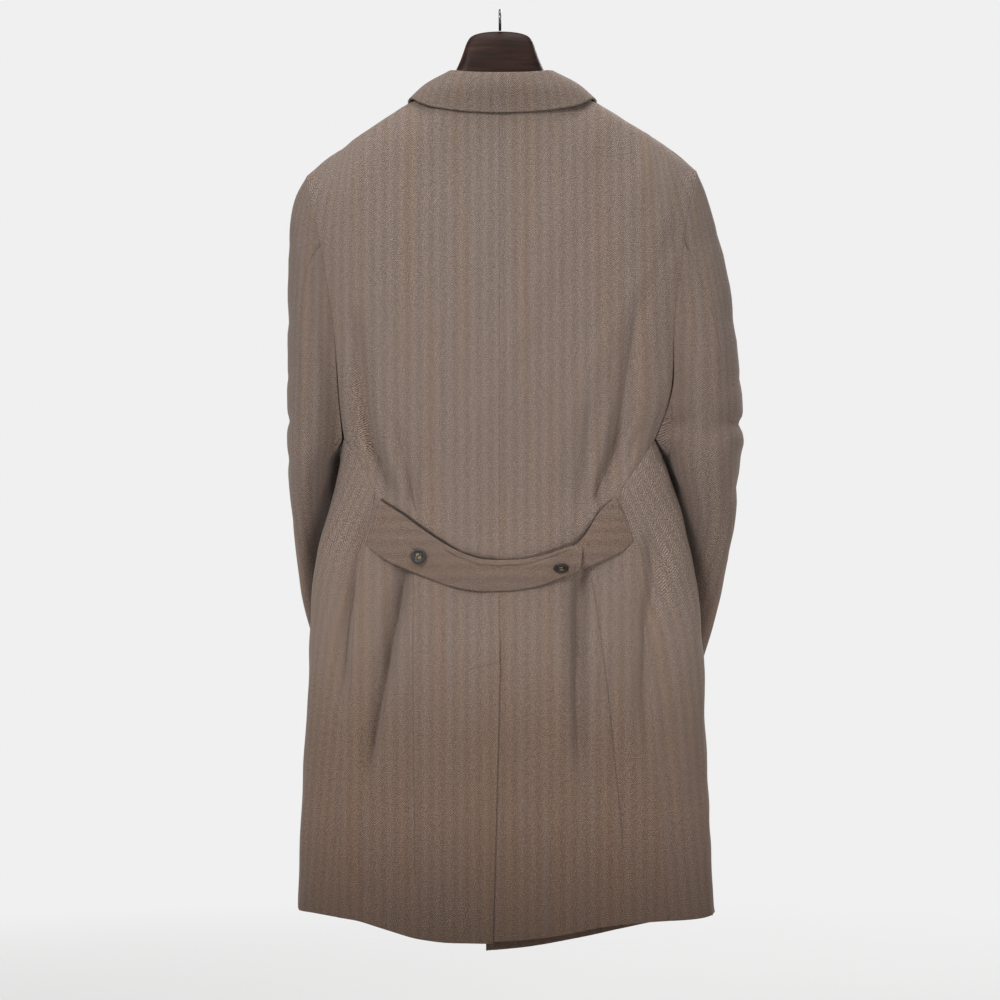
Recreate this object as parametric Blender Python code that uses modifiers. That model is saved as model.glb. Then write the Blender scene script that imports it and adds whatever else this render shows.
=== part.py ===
"""A man's herringbone overcoat on a wooden hanger. Metres, +Z up.

The coat's front faces -Y and its back faces +Y, so the wearer's left is +X.
The origin is where a rail touches the inside of the hanger's hook.
The cloth is a wall lofted through level sections. A panel is a grid of points on its
outer face, with rows from top to bottom, and a second grid one wall inwards.
"""

import math
from collections import namedtuple

import bmesh
import bpy
import numpy as np
from mathutils import Vector

CLOTH = 0.0020
COLLAR_CLOTH = 0.0030
BELT_CLOTH = 0.0026
SEAM_GAP = 0.0003
# The sleeve's seams wind a little, so they stand further apart.
SLEEVE_SEAM_GAP = 0.0006
LIE_GAP = 0.0004
LEFT, RIGHT = 1, -1
SIDES = {"left": LEFT, "right": RIGHT}

# The section is a superellipse, a little squarer than an oval.
SQUARENESS = 2.5

# Half-widths and depths of the body's level sections. Above the underarm the
# half-width is that of the section as if it ran on past the armhole.
Level = namedtuple("Level", "z left right back front")
BODY_LEVELS = [
    Level(-0.200, 0.262, 0.266, 0.060, 0.056),
    Level(-0.260, 0.252, 0.256, 0.072, 0.066),
    Level(-0.300, 0.246, 0.251, 0.077, 0.072),
    Level(-0.360, 0.236, 0.244, 0.082, 0.078),
    Level(-0.430, 0.224, 0.236, 0.085, 0.082),
    Level(-0.490, 0.217, 0.232, 0.085, 0.084),
    Level(-0.522, 0.211, 0.218, 0.083, 0.085),
    Level(-0.548, 0.204, 0.203, 0.080, 0.086),
    Level(-0.580, 0.206, 0.213, 0.075, 0.087),
    Level(-0.613, 0.212, 0.227, 0.071, 0.088),
    Level(-0.650, 0.222, 0.237, 0.070, 0.088),
    Level(-0.690, 0.236, 0.246, 0.073, 0.088),
    Level(-0.732, 0.241, 0.253, 0.077, 0.087),
    Level(-0.800, 0.244, 0.260, 0.081, 0.085),
    Level(-0.880, 0.248, 0.264, 0.082, 0.083),
    Level(-1.008, 0.255, 0.268, 0.081, 0.080),
    Level(-1.220, 0.262, 0.279, 0.080, 0.076),
]

# Where the back panel ends: along the armhole, then along the side seam.
Edge = namedtuple("Edge", "z left right")
BACK_EDGE = [
    Edge(-0.210, 0.2470, 0.2515),
    Edge(-0.241, 0.2403, 0.2417),
    Edge(-0.300, 0.2297, 0.2347),
    Edge(-0.360, 0.2196, 0.2277),
    Edge(-0.427, 0.2095, 0.2192),
    Edge(-0.492, 0.2044, 0.2195),
    Edge(-0.522, 0.2022, 0.2085),
    Edge(-0.548, 0.1982, 0.1960),
    Edge(-0.579, 0.1758, 0.1758),
    Edge(-0.601, 0.1645, 0.1607),
    Edge(-0.622, 0.1545, 0.1480),
    Edge(-0.651, 0.1630, 0.1600),
    Edge(-0.682, 0.1733, 0.1733),
    Edge(-0.735, 0.1885, 0.1790),
    Edge(-0.802, 0.1973, 0.1860),
    Edge(-0.903, 0.1999, 0.1942),
    Edge(-1.004, 0.2018, 0.2024),
    Edge(-1.220, 0.2050, 0.2160),
]
UNDERARM_Z = -0.548
UNDERARM_DIP = 0.006
FRONT_CUT_IN = 0.006

# The neck's opening, then the level of the shoulders' crest by its distance from the middle.
NECK_HALF = 0.080
NECK_BACK_Y = 0.052
NECK_BACK_Z = -0.116
Crest = namedtuple("Crest", "x left right")
SHOULDER_CREST = [
    Crest(0.080, -0.0940, -0.0930),
    Crest(0.1165, -0.1165, -0.1125),
    Crest(0.1626, -0.1459, -0.1395),
    Crest(0.1900, -0.1655, -0.1565),
    Crest(0.2189, -0.1869, -0.1765),
    Crest(0.2381, -0.2004, -0.1915),
    Crest(0.2470, -0.2095, -0.2000),
    Crest(0.2515, -0.2150, -0.2035),
]
# The cloth turns over the shoulder within this drop. The shoulder point is at the second level.
YOKE_DROP = 0.075
SHOULDER_POINT_Z = -0.210

# Folds of the back. A place is a share of the way from the centre back to the side seam,
# inner and outer are how far the fold reaches each way, and depth is into the cloth.
FOLD_SHARPNESS = 1.4
Fold = namedtuple("Fold", "side top bottom start end bow depth deepest inner outer")
FOLDS = [
    Fold(LEFT, -0.345, -0.655, 0.855, 0.870, 0.00, 0.012, -0.600, 0.11, 0.06),
    Fold(LEFT, -0.500, -0.660, 0.640, 0.725, 0.00, 0.008, -0.620, 0.08, 0.06),
    Fold(RIGHT, -0.345, -0.655, 0.820, 0.870, -0.09, 0.013, -0.600, 0.11, 0.07),
    Fold(RIGHT, -0.480, -0.660, 0.610, 0.710, 0.00, 0.007, -0.620, 0.09, 0.08),
    Fold(LEFT, -0.660, -1.020, 0.655, 0.860, -0.04, 0.015, -0.740, 0.07, 0.10),
    Fold(RIGHT, -0.660, -0.960, 0.610, 0.545, -0.02, 0.015, -0.760, 0.10, 0.07),
    Fold(RIGHT, -0.640, -0.860, 1.130, 0.985, 0.00, 0.012, -0.720, 0.08, 0.10),
    Fold(LEFT, -0.670, -0.880, 1.000, 1.010, 0.00, 0.008, -0.740, 0.08, 0.08),
    Fold(RIGHT, -0.880, -1.150, 0.100, 0.170, 0.00, 0.005, -1.060, 0.08, 0.08),
    Fold(LEFT, -0.540, -0.624, 0.960, 0.960, 0.00, -0.003, -0.590, 0.08, 0.05),
    Fold(RIGHT, -0.540, -0.624, 0.960, 0.960, 0.00, -0.003, -0.590, 0.08, 0.05),
]

# The hem's level by turn, 0 at the centre back and 1 at the centre front.
Hem = namedtuple("Hem", "turn left right")
HEM = [
    Hem(0.00, -1.1800, -1.1775),
    Hem(0.06, -1.1790, -1.1705),
    Hem(0.14, -1.1660, -1.1585),
    Hem(0.22, -1.1530, -1.1550),
    Hem(0.36, -1.1465, -1.1540),
    Hem(0.50, -1.1465, -1.1510),
    Hem(0.75, -1.1600, -1.1700),
    Hem(1.00, -1.1860, -1.2120),
    Hem(1.06, -1.1870, -1.2180),
]

# The vent, and how far its over edge swings out at the hem.
VENT_TOP_Z, VENT_BOTTOM_Z = -0.826, -1.180
VENT_SWING = 0.009
VENT_UNDERLAP = 0.040
VENT_UNDERLAP_COLUMNS = 3
# The under panel starts to sink behind the over panel here, just above the vent.
VENT_OPEN_Z = VENT_TOP_Z + 0.020
UNDER_PRESS = CLOTH + 0.0006
UNDER_PRESS_REACH = 0.030
FRONT_OVERLAP = 0.018
# The over front has its full lift this far out from the centre, and none at the second place.
OVERLAP_FULL_X, OVERLAP_NONE_X = 0.024, 0.060
BREAK_Z = -0.400

# The front's free edge: neck seam, then the lapel's fold line, then straight down.
FreeEdge = namedtuple("FreeEdge", "z x")
FRONT_EDGE = [
    FreeEdge(-0.094, 0.080),
    FreeEdge(-0.120, 0.074),
    FreeEdge(-0.155, 0.063),
    FreeEdge(-0.250, 0.037),
    FreeEdge(-0.350, 0.004),
    FreeEdge(BREAK_Z, -FRONT_OVERLAP),
    FreeEdge(-1.250, -FRONT_OVERLAP),
]

YOKE_ROWS = 4
ARMHOLE_ROWS = 8
UNDERARM_ROWS = 2
# How far the rows round the underarm sag below it, so that each clears the one above.
UNDERARM_SAG = [0.0, 0.010, 0.022]
SAG_START, SAG_END = 0.06, 0.50
SKIRT_ROWS = 18
# A point's level and its place across depend on each other, so they are found in rounds.
ROUNDS = 3
# Shares of the way out from the centre back. The shoulder seam bends only at its stops.
NECK_COLUMNS = [0, 0.12, 0.23]
SHOULDER_STOPS = [0.47, 0.60, 0.72, 0.83, 0.91, 1]
BACK_COLUMNS = [0.47, 0.54, 0.60, 0.66, 0.72, 0.78, 0.83, 0.87, 0.91, 0.955, 1]
# Shares of the way round from the front panel's outer edge to its free edge.
FRONT_COLUMNS = [0, 0.05, 0.10, 0.16, 0.23, 0.31, 0.40, 0.51, 0.64, 0.78, 0.90, 0.965, 1]
FRONT_TOP = [1, 0.955, 0.91, 0.87, 0.83, 0.775, 0.72, 0.66, 0.60, 0.54, 0.47, 0.40]


def column(table, name):
    return np.array([getattr(row, name) for row in table], float)


def with_index(table):
    """The same table with each row's number as one more column, named index."""
    Keyed = namedtuple("Keyed", ("index", *table[0]._fields))
    return [Keyed(index, *row) for index, row in enumerate(table)]


def along(table, key, name, at):
    """The named column at this key, on a smooth curve that never overshoots its rows."""
    keys, values = column(table, key), column(table, name)
    if keys[0] > keys[-1]:
        keys, values = keys[::-1], values[::-1]
    if at <= keys[0]:
        return float(values[0])
    if at >= keys[-1]:
        return float(values[-1])
    steps = np.diff(values) / np.diff(keys)
    slopes = np.zeros(len(keys))
    for i in range(1, len(keys) - 1):
        if steps[i - 1] * steps[i] > 0:
            slopes[i] = 2 * steps[i - 1] * steps[i] / (steps[i - 1] + steps[i])
    slopes[0], slopes[-1] = steps[0], steps[-1]
    i = int(np.searchsorted(keys, at)) - 1
    span = keys[i + 1] - keys[i]
    t = (at - keys[i]) / span
    rise = values[i + 1] - values[i]
    bend = (1 - t) * (slopes[i] * span - rise) - t * (slopes[i + 1] * span - rise)
    return float(values[i] + rise * t + t * (1 - t) * bend)


def side_name(side):
    return "left" if side == LEFT else "right"


def ease(t):
    t = min(max(t, 0.0), 1.0)
    return t * t * (3 - 2 * t)


def mix(a, b, t):
    return a + (b - a) * t


def power(value, exponent):
    return math.copysign(abs(value) ** exponent, value)


def unit(vector):
    length = np.linalg.norm(vector, axis=-1, keepdims=True)
    return vector / np.maximum(length, 1e-12)


# The body's surface

# A place across counts as this share of the half-width at most.
MOST_SHARE = 0.9999


def section(side, turn, z):
    """A point (x, y) of the level section; turn is 0 at the centre back and 1 at the centre front."""
    half = along(BODY_LEVELS, "z", side_name(side), z)
    depth = along(BODY_LEVELS, "z", "back" if turn < 0.5 else "front", z)
    angle = math.pi * turn
    x = half * power(math.sin(angle), 2 / SQUARENESS)
    y = depth * power(math.cos(angle), 2 / SQUARENESS)
    return x, y


def turn_at(side, x, z, front=False):
    """The turn at which the section has this x, on its back or its front."""
    half = along(BODY_LEVELS, "z", side_name(side), z)
    share = min(abs(x) / half, MOST_SHARE)
    turn = math.copysign(math.asin(share ** (SQUARENESS / 2)) / math.pi, x)
    return 1 - turn if front else turn


def crest(side, x, on_back):
    """The level and depth at which the cloth turns over the shoulder or ends at the neck."""
    x = abs(x)
    if x >= NECK_HALF:
        return along(SHOULDER_CREST, "x", side_name(side), x), 0.0
    share = x / NECK_HALF
    top = along(SHOULDER_CREST, "x", side_name(side), NECK_HALF)
    if not on_back:
        return top, 0.0
    return mix(NECK_BACK_Z, top, share**2), NECK_BACK_Y * math.sqrt(1 - share**2)


def fold_depth(side, share, z):
    total = 0.0
    for fold in FOLDS:
        if fold.side != side or not fold.bottom < z < fold.top:
            continue
        run = (fold.top - z) / (fold.top - fold.bottom)
        peak = (fold.top - fold.deepest) / (fold.top - fold.bottom)
        swell = run / peak if run < peak else (1 - run) / (1 - peak)
        place = mix(fold.start, fold.end, run) + fold.bow * math.sin(math.pi * run)
        reach = fold.inner if share < place else fold.outer
        across = 1 - abs(share - place) / reach
        if across > 0:
            total += fold.depth * ease(swell) * across**FOLD_SHARPNESS
    return total


def body_point(side, turn, z, lift=0.0):
    """A point on the outer face of the body, lifted outwards by this much."""
    x, y = section(side, turn, z)
    half = along(BODY_LEVELS, "z", side_name(side), z)
    depth = along(BODY_LEVELS, "z", "back" if turn < 0.5 else "front", z)
    top, top_y = crest(side, x, turn < 0.5)
    drop = min(max((top - z) / YOKE_DROP, 0.0), 1.0)
    y = top_y + (y - top_y) * math.sqrt(1 - (1 - drop) ** 2)
    away = unit(np.array([x / half**2, y / depth**2]))
    if turn < 0.5:
        share = abs(x) / along(BACK_EDGE, "z", side_name(side), z)
        lift -= fold_depth(side, share, z)
    return np.array([side * (x + away[0] * lift), y + away[1] * lift, z])


def hem_level(side, turn):
    return along(HEM, "turn", side_name(side), abs(turn))


def shoulder_x(side, share):
    """The crest's x at a back column's share: straight between the shoulder's stops."""
    reach = along(BACK_EDGE, "z", side_name(side), SHOULDER_POINT_Z)
    return share * reach


def crest_level(side, x):
    """The shoulder seam's level, straight between the stops that both panels share."""
    stops = [NECK_HALF] + [shoulder_x(side, share) for share in SHOULDER_STOPS]
    levels = [crest(side, stop, True)[0] for stop in stops]
    if x <= stops[0]:
        return crest(side, x, True)[0]
    return float(np.interp(x, stops, levels))


def back_columns(side):
    return NECK_COLUMNS + [NECK_HALF / shoulder_x(side, 1)] + BACK_COLUMNS


def yoke_level(top, row):
    """The level of a row near the shoulder; the rows draw together towards the crest."""
    return top - YOKE_DROP * (1 - math.cos(math.pi / 2 * row / YOKE_ROWS))


def armhole_levels(side):
    """Levels down the armhole's edge, from the shoulder point to the underarm."""
    top = crest_level(side, shoulder_x(side, 1))
    levels = [yoke_level(top, row) for row in range(YOKE_ROWS + 1)]
    for row in range(1, ARMHOLE_ROWS + 1):
        levels.append(mix(levels[YOKE_ROWS], UNDERARM_Z, row / ARMHOLE_ROWS))
    return levels


def vent_x(z):
    """Where the over panel's edge lies beside the centre line, below the vent's top."""
    run = (VENT_TOP_Z - z) / (VENT_TOP_Z - VENT_BOTTOM_Z)
    return VENT_SWING * max(run, 0.0)


def under_lap(side, x, z):
    """How far the under panel is pressed in below the vent, near the centre."""
    if side == LEFT or z > VENT_OPEN_Z:
        return 0.0
    return UNDER_PRESS * ease(1 + min(x, 0.0) / UNDER_PRESS_REACH)


def back_panel(side):
    """Rows from the neck and shoulder down to the hem, columns from the centre out."""
    levels = armhole_levels(side)
    rows = []
    for row, edge_z in enumerate(levels):
        edge_x = along(BACK_EDGE, "z", side_name(side), edge_z)
        if row == 0:
            edge_x = shoulder_x(side, 1)
        points = []
        for share in back_columns(side):
            x = share * mix(shoulder_x(side, 1), edge_x, min(1, row / YOKE_ROWS))
            if row > YOKE_ROWS:
                x = share * edge_x
            top = crest_level(side, x)
            if row <= YOKE_ROWS:
                z = yoke_level(top, row)
            else:
                z = mix(top - YOKE_DROP, UNDERARM_Z, (row - YOKE_ROWS) / ARMHOLE_ROWS)
            points.append(yoke_point(side, x, z, top, on_back=True))
        rows.append(points)
    for row in range(1, SKIRT_ROWS + 1):
        run = row / SKIRT_ROWS
        rows.append([skirt_point(side, share, run) for share in back_columns(side)])
    return np.array(rows)


def yoke_point(side, x, z, top, on_back):
    """A body point above the underarm, with its own level for the crest."""
    turn = turn_at(side, x, z, front=not on_back)
    point = body_point(side, turn, z)
    drop = min((top - z) / YOKE_DROP, 1.0)
    if drop < 1:
        section_y = section(side, turn, z)[1]
        top_y = crest(side, x, on_back)[1]
        point[1] = top_y + (section_y - top_y) * math.sqrt(1 - (1 - drop) ** 2)
    return point


def skirt_point(side, share, run):
    """A back point below the underarm, at this share of the way to the side seam."""
    z = UNDERARM_Z
    x = 0.0
    for _ in range(ROUNDS):
        x = share * along(BACK_EDGE, "z", side_name(side), z)
        z = mix(UNDERARM_Z, hem_level(side, turn_at(side, x, z)), run)
    if side == LEFT:
        x = max(x, vent_x(z)) if share == 0 else x + vent_x(z) * (1 - share)
    point = body_point(side, turn_at(side, x, z), z)
    point[1] -= under_lap(side, -x, z)
    return point


def front_overlap_lift(side, x):
    """The over front stands proud of the under front where the two lap."""
    if side == RIGHT:
        return 0.0
    return (CLOTH + 2 * LIE_GAP) * ease((OVERLAP_NONE_X - x) / (OVERLAP_NONE_X - OVERLAP_FULL_X))


def front_edge(side, row):
    """The turn and level of the front panel's outer edge at this row."""
    levels = armhole_levels(side)
    last = len(levels) - 1
    name = side_name(side)
    if row <= last:
        run = row / last
        cut = FRONT_CUT_IN * math.sin(math.pi * run)
        x = along(BACK_EDGE, "z", name, levels[row]) - cut
        return turn_at(side, x, levels[row], front=True), levels[row]
    run = (row - last) / UNDERARM_ROWS
    front_turn = turn_at(side, along(BACK_EDGE, "z", name, UNDERARM_Z), UNDERARM_Z, front=True)
    back_turn = 1 - front_turn
    z = UNDERARM_Z - UNDERARM_DIP * math.sin(math.pi * run)
    return mix(front_turn, back_turn, run), z


def front_upper_row(side, row, last):
    """A front row above the underarm's level, from the armhole to the free edge."""
    edge_turn, edge_z = front_edge(side, row)
    edge_top = crest_level(side, shoulder_x(side, 1))
    neck_z = crest_level(side, NECK_HALF)
    if row <= YOKE_ROWS:
        free_z = yoke_level(neck_z, row)
    else:
        free_z = mix(neck_z - YOKE_DROP, UNDERARM_Z, (row - YOKE_ROWS) / (last - YOKE_ROWS))
    free_x = along(FRONT_EDGE, "z", "x", free_z)
    free_turn = turn_at(side, free_x, free_z, front=True) if free_x > 0 else (
        1 - turn_at(side, free_x, free_z))
    tops = [shoulder_x(side, share) for share in FRONT_TOP] + [NECK_HALF]
    low = YOKE_ROWS + ARMHOLE_ROWS
    crested = 1 - min(max((row - YOKE_ROWS) / ARMHOLE_ROWS, 0), 1)
    points = []
    for share, top_x in zip(FRONT_COLUMNS, tops):
        bulge = crest_level(side, top_x) - mix(edge_top, neck_z, share)
        sag = UNDERARM_SAG[max(row - low, 0)] * min(share / SAG_START, 1)
        z = mix(edge_z, free_z, share) + bulge * crested - sag * ease((SAG_END - share) / SAG_END)
        turn = mix(edge_turn, free_turn, share)
        x = section(side, turn, z)[0]
        if row <= YOKE_ROWS:
            x = mix(top_x, x, row / YOKE_ROWS)
            top = max(crest_level(side, x), z)
            point = yoke_point(side, x, z, top, on_back=False)
        else:
            point = body_point(side, turn, z)
        point[1] -= front_overlap_lift(side, x)
        points.append(point)
    return points


def front_panel(side):
    """Rows from the shoulder to the hem, columns from the armhole and side seam to the free edge."""
    last = YOKE_ROWS + ARMHOLE_ROWS + UNDERARM_ROWS
    rows = [front_upper_row(side, row, last) for row in range(last + 1)]
    seam = back_panel(side)[YOKE_ROWS + ARMHOLE_ROWS:, -1]
    rows[last][0] = seam[0]
    for row in range(1, SKIRT_ROWS + 1):
        points = [seam[row]]
        start = turn_at(side, abs(seam[row][0]), seam[row][2])
        for share in FRONT_COLUMNS[1:]:
            z = UNDERARM_Z
            turn = start
            for _ in range(ROUNDS):
                end = 1 + turn_at(side, FRONT_OVERLAP, z)
                turn = mix(start, end, share)
                z = mix(UNDERARM_Z, hem_level(side, turn), row / SKIRT_ROWS)
            x = section(side, turn, z)[0]
            points.append(body_point(side, turn, z, front_overlap_lift(side, x)))
        rows.append(points)
    return np.array(rows)


# Sleeves. Rings fan out from the armhole, turning about the underarm, then go down the arm.

Outline = namedtuple("Outline", "z left right")
CAP_OUTLINE = [
    Outline(-0.2040, 0.2470, 0.2520),
    Outline(-0.2248, 0.2586, 0.2620),
    Outline(-0.2400, 0.2653, 0.2660),
    Outline(-0.2547, 0.2682, 0.2701),
    Outline(-0.2867, 0.2701, 0.2820),
    Outline(-0.3558, 0.2720, 0.2962),
    Outline(-0.4122, 0.2720, 0.3028),
    Outline(-0.4582, 0.2730, 0.3085),
    Outline(-0.5210, 0.2726, 0.3120),
    Outline(-0.5750, 0.2714, 0.3066),
]
FAN = [0.06, 0.15, 0.28, 0.43, 0.58, 0.72, 0.82, 0.87, 0.92, 1]
CAP_ROUND = 0.010
UNDERARM_CLEAR = 0.0016

# Level sections below the underarm: the outermost x, the flat oval's two widths, how far
# back its middle lies, how far its front end turns inwards, and how it tips.
Arm = namedtuple("Arm", "z outer thick deep middle yaw tip")
ARM_LEVELS = {
    LEFT: [
        Arm(-0.575, 0.2714, 0.058, 0.150, -0.012, 2, 0),
        Arm(-0.605, 0.2697, 0.050, 0.150, -0.026, 6, 3),
        Arm(-0.645, 0.2669, 0.044, 0.142, -0.056, 10, 8),
        Arm(-0.680, 0.2655, 0.042, 0.138, -0.084, 12, 12),
        Arm(-0.705, 0.2630, 0.042, 0.136, -0.100, 16, 16),
        Arm(-0.730, 0.2595, 0.042, 0.134, -0.116, 20, 20),
        Arm(-0.755, 0.2555, 0.042, 0.132, -0.130, 23, 23),
        Arm(-0.780, 0.2475, 0.042, 0.130, -0.142, 25, 25),
        Arm(-0.815, 0.2400, 0.042, 0.126, -0.156, 26, 25),
    ],
    RIGHT: [
        Arm(-0.575, 0.3066, 0.090, 0.150, -0.012, 0, 0),
        Arm(-0.605, 0.3060, 0.080, 0.150, -0.022, 0, 3),
        Arm(-0.645, 0.3045, 0.068, 0.146, -0.042, 8, 8),
        Arm(-0.680, 0.2980, 0.060, 0.142, -0.064, 14, 12),
        Arm(-0.710, 0.2920, 0.056, 0.138, -0.084, 18, 16),
        Arm(-0.740, 0.2865, 0.052, 0.135, -0.104, 21, 20),
        Arm(-0.770, 0.2805, 0.049, 0.132, -0.122, 23, 23),
        Arm(-0.800, 0.2710, 0.046, 0.130, -0.138, 25, 25),
        Arm(-0.830, 0.2630, 0.044, 0.126, -0.152, 26, 25),
    ],
}
# The fold across the back of the elbow: its depth, level, reach, and how far round it goes.
ELBOW_FOLD = {LEFT: 0.002, RIGHT: 0.009}
ELBOW_FOLD_Z, ELBOW_FOLD_REACH, ELBOW_FOLD_ROUND = -0.532, 0.014, 0.3
# Below the underarm the sleeve's inner front side nestles round the body's side.
NESTLE = {LEFT: 0.030, RIGHT: 0.026}
NESTLE_Z, NESTLE_REACH = -0.606, 0.042


def arm_ring(side, arm, turns):
    """A closed ring at this row of the arm's table, with a point at each turn from 0 to 1."""
    yaw = math.radians(arm.yaw)
    half_thick, half_deep = arm.thick / 2, arm.deep / 2
    reach = math.hypot(half_thick * math.cos(yaw), half_deep * math.sin(yaw))
    ring = []
    for turn in turns:
        out = half_thick * math.cos(2 * math.pi * turn)
        back = half_deep * math.sin(2 * math.pi * turn)
        x = arm.outer - reach + out * math.cos(yaw) + back * math.sin(yaw)
        y = -out * math.sin(yaw) + back * math.cos(yaw)
        z = arm.z - y * math.tan(math.radians(arm.tip))
        ring.append([side * x, arm.middle + y, z])
    return np.array(ring)


def armhole_loop(back, front):
    """The armhole's points: down the back, under the arm and up the front."""
    low = YOKE_ROWS + ARMHOLE_ROWS
    down = back[: low + 1, -1]
    up = front[low + UNDERARM_ROWS - 1 : 0 : -1, 0]
    return np.concatenate([down, up])


def loop_turns(loop):
    steps = np.linalg.norm(np.roll(loop, -1, axis=0) - loop, axis=1)
    return np.concatenate([[0], np.cumsum(steps)[:-1]]) / steps.sum()


def sleeve(side, loop):
    """Rings from the armhole to the cuff."""
    turns = loop_turns(loop)
    first = arm_ring(side, ARM_LEVELS[side][0], turns)
    name = side_name(side)
    around = np.cos(2 * math.pi * turns)
    across = np.sin(2 * math.pi * turns)
    clear = side * UNDERARM_CLEAR * np.clip(-around, 0, 1)
    rings = [loop + np.outer(clear, [1, 0, 0])]
    for share in FAN:
        ring = mix(loop, first, share)
        outer_x = along(CAP_OUTLINE, "z", name, ring[0, 2])
        ring[:, 0] += side * (outer_x - abs(ring[0, 0])) * (1 + around) / 2
        ring[:, 1] += CAP_ROUND * math.sin(math.pi * share) * across
        ring[:, 0] += side * UNDERARM_CLEAR * (1 - share) * np.clip(-around, 0, 1)
        near = np.exp(-(((ring[:, 2] - ELBOW_FOLD_Z) / ELBOW_FOLD_REACH) ** 2))
        ring[:, 1] -= ELBOW_FOLD[side] * near * np.clip(across + ELBOW_FOLD_ROUND, 0, 1)
        rings.append(ring)
    for arm in ARM_LEVELS[side][1:]:
        rings.append(arm_ring(side, arm, turns))
    inner_front = np.clip(-around, 0, 1) * np.clip(-across, 0, 1)
    for ring in rings[1:]:
        near = np.exp(-(((ring[:, 2] - NESTLE_Z) / NESTLE_REACH) ** 2))
        ring[:, 0] -= side * NESTLE[side] * near * inner_front
    return np.array(rings)


# Collar, lapels and half-belt


CollarStop = namedtuple("CollarStop", "base_x base_y base_z roll_x roll_y roll_z edge_x edge_y edge_z")
COLLAR_STOPS = [
    CollarStop(0.000, 0.0500, -0.1135, 0.000, 0.0610, -0.0860, 0.000, 0.0710, -0.1370),
    CollarStop(0.035, 0.0440, -0.1095, 0.034, 0.0540, -0.0845, 0.050, 0.0690, -0.1340),
    CollarStop(0.062, 0.0290, -0.0985, 0.059, 0.0360, -0.0795, 0.098, 0.0560, -0.1240),
    CollarStop(0.074, 0.0000, -0.0895, 0.067, 0.0040, -0.0768, 0.1165, 0.0060, -0.1090),
    CollarStop(0.068, -0.0290, -0.1050, 0.069, -0.0390, -0.0940, 0.121, -0.0470, -0.1410),
    CollarStop(0.061, -0.0440, -0.1350, 0.065, -0.0560, -0.1250, 0.116, -0.0585, -0.1760),
    CollarStop(0.053, -0.0530, -0.1680, 0.058, -0.0640, -0.1610, 0.103, -0.0625, -0.2100),
]
COLLAR_SAMPLES = 13
RIGHT_STRETCH = 1.05
# The roll is this wide and drops this far each way; the leaf bellies out a little below it.
ROLL_HALF = 0.0050
ROLL_DROP_IN, ROLL_DROP_OUT = 0.004, 0.003
STAND_SHARE = 0.55
LeafBelly = namedtuple("LeafBelly", "share out up")
LEAF_BELLY = [LeafBelly(0.45, 0.005, 0.002), LeafBelly(0.75, 0.003, 0.001)]


def collar_section(side, at):
    """Points from the neck seam up the stand, over the roll and down the leaf."""
    table = with_index(COLLAR_STOPS)

    def place(part):
        point = [along(table, "index", part + "_" + axis, at) for axis in "xyz"]
        return np.array(point)

    base, roll, edge = place("base"), place("roll"), place("edge")
    out = edge - roll
    out[2] = 0
    out = unit(out)
    up = np.array([0.0, 0.0, 1.0])
    points = [
        base,
        mix(base, roll, STAND_SHARE),
        roll - out * ROLL_HALF - up * ROLL_DROP_IN,
        roll,
        roll + out * ROLL_HALF - up * ROLL_DROP_OUT,
    ]
    for belly in LEAF_BELLY:
        points.append(mix(roll, edge, belly.share) + out * belly.out + up * belly.up)
    points.append(edge)
    stretch = 1 if side == LEFT else RIGHT_STRETCH
    return [point * [side * stretch, 1, 1] for point in points]


def collar_grid():
    last = len(COLLAR_STOPS) - 1
    places = [last * step / COLLAR_SAMPLES for step in range(COLLAR_SAMPLES + 1)]
    left = [collar_section(LEFT, at) for at in places]
    right = [collar_section(RIGHT, at) for at in places[1:]]
    return np.array(right[::-1] + left)


LAPEL_TOP, LAPEL_BOTTOM = -0.172, -0.350
LAPEL_WIDTH, LAPEL_TIP = 0.095, 0.010
LAPEL_ROWS, LAPEL_ACROSS = 9, 5
LAPEL_LIE = 0.0018
# The lapel's slope in degrees at its top and bottom, how it narrows, and how its fold stands up.
LAPEL_SLOPE_TOP, LAPEL_SLOPE_BOTTOM = 46, 14
LAPEL_NARROWING = 1.25
LAPEL_ROLL, LAPEL_ROLL_STEPS = 0.003, 2


def lapel_grid(side):
    """A lapel's outer face, lying on the front: rows down the fold line, columns outwards."""
    rows = []
    for row in range(LAPEL_ROWS + 1):
        run = row / LAPEL_ROWS
        z = mix(LAPEL_TOP, LAPEL_BOTTOM, run)
        x = along(FRONT_EDGE, "z", "x", z)
        width = mix(LAPEL_WIDTH, LAPEL_TIP, run**LAPEL_NARROWING)
        slope = math.radians(mix(LAPEL_SLOPE_TOP, LAPEL_SLOPE_BOTTOM, run))
        points = []
        for step in range(LAPEL_ACROSS + 1):
            out = width * step / LAPEL_ACROSS
            px, pz = x + out * math.cos(slope), z - out * math.sin(slope)
            turn = turn_at(side, px, pz, front=True)
            lift = COLLAR_CLOTH + LAPEL_LIE + front_overlap_lift(side, px)
            lift += LAPEL_ROLL * ease(1 - step / LAPEL_ROLL_STEPS)
            points.append(body_point(side, turn, pz, lift))
        rows.append(points)
    return np.array(rows)


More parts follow.
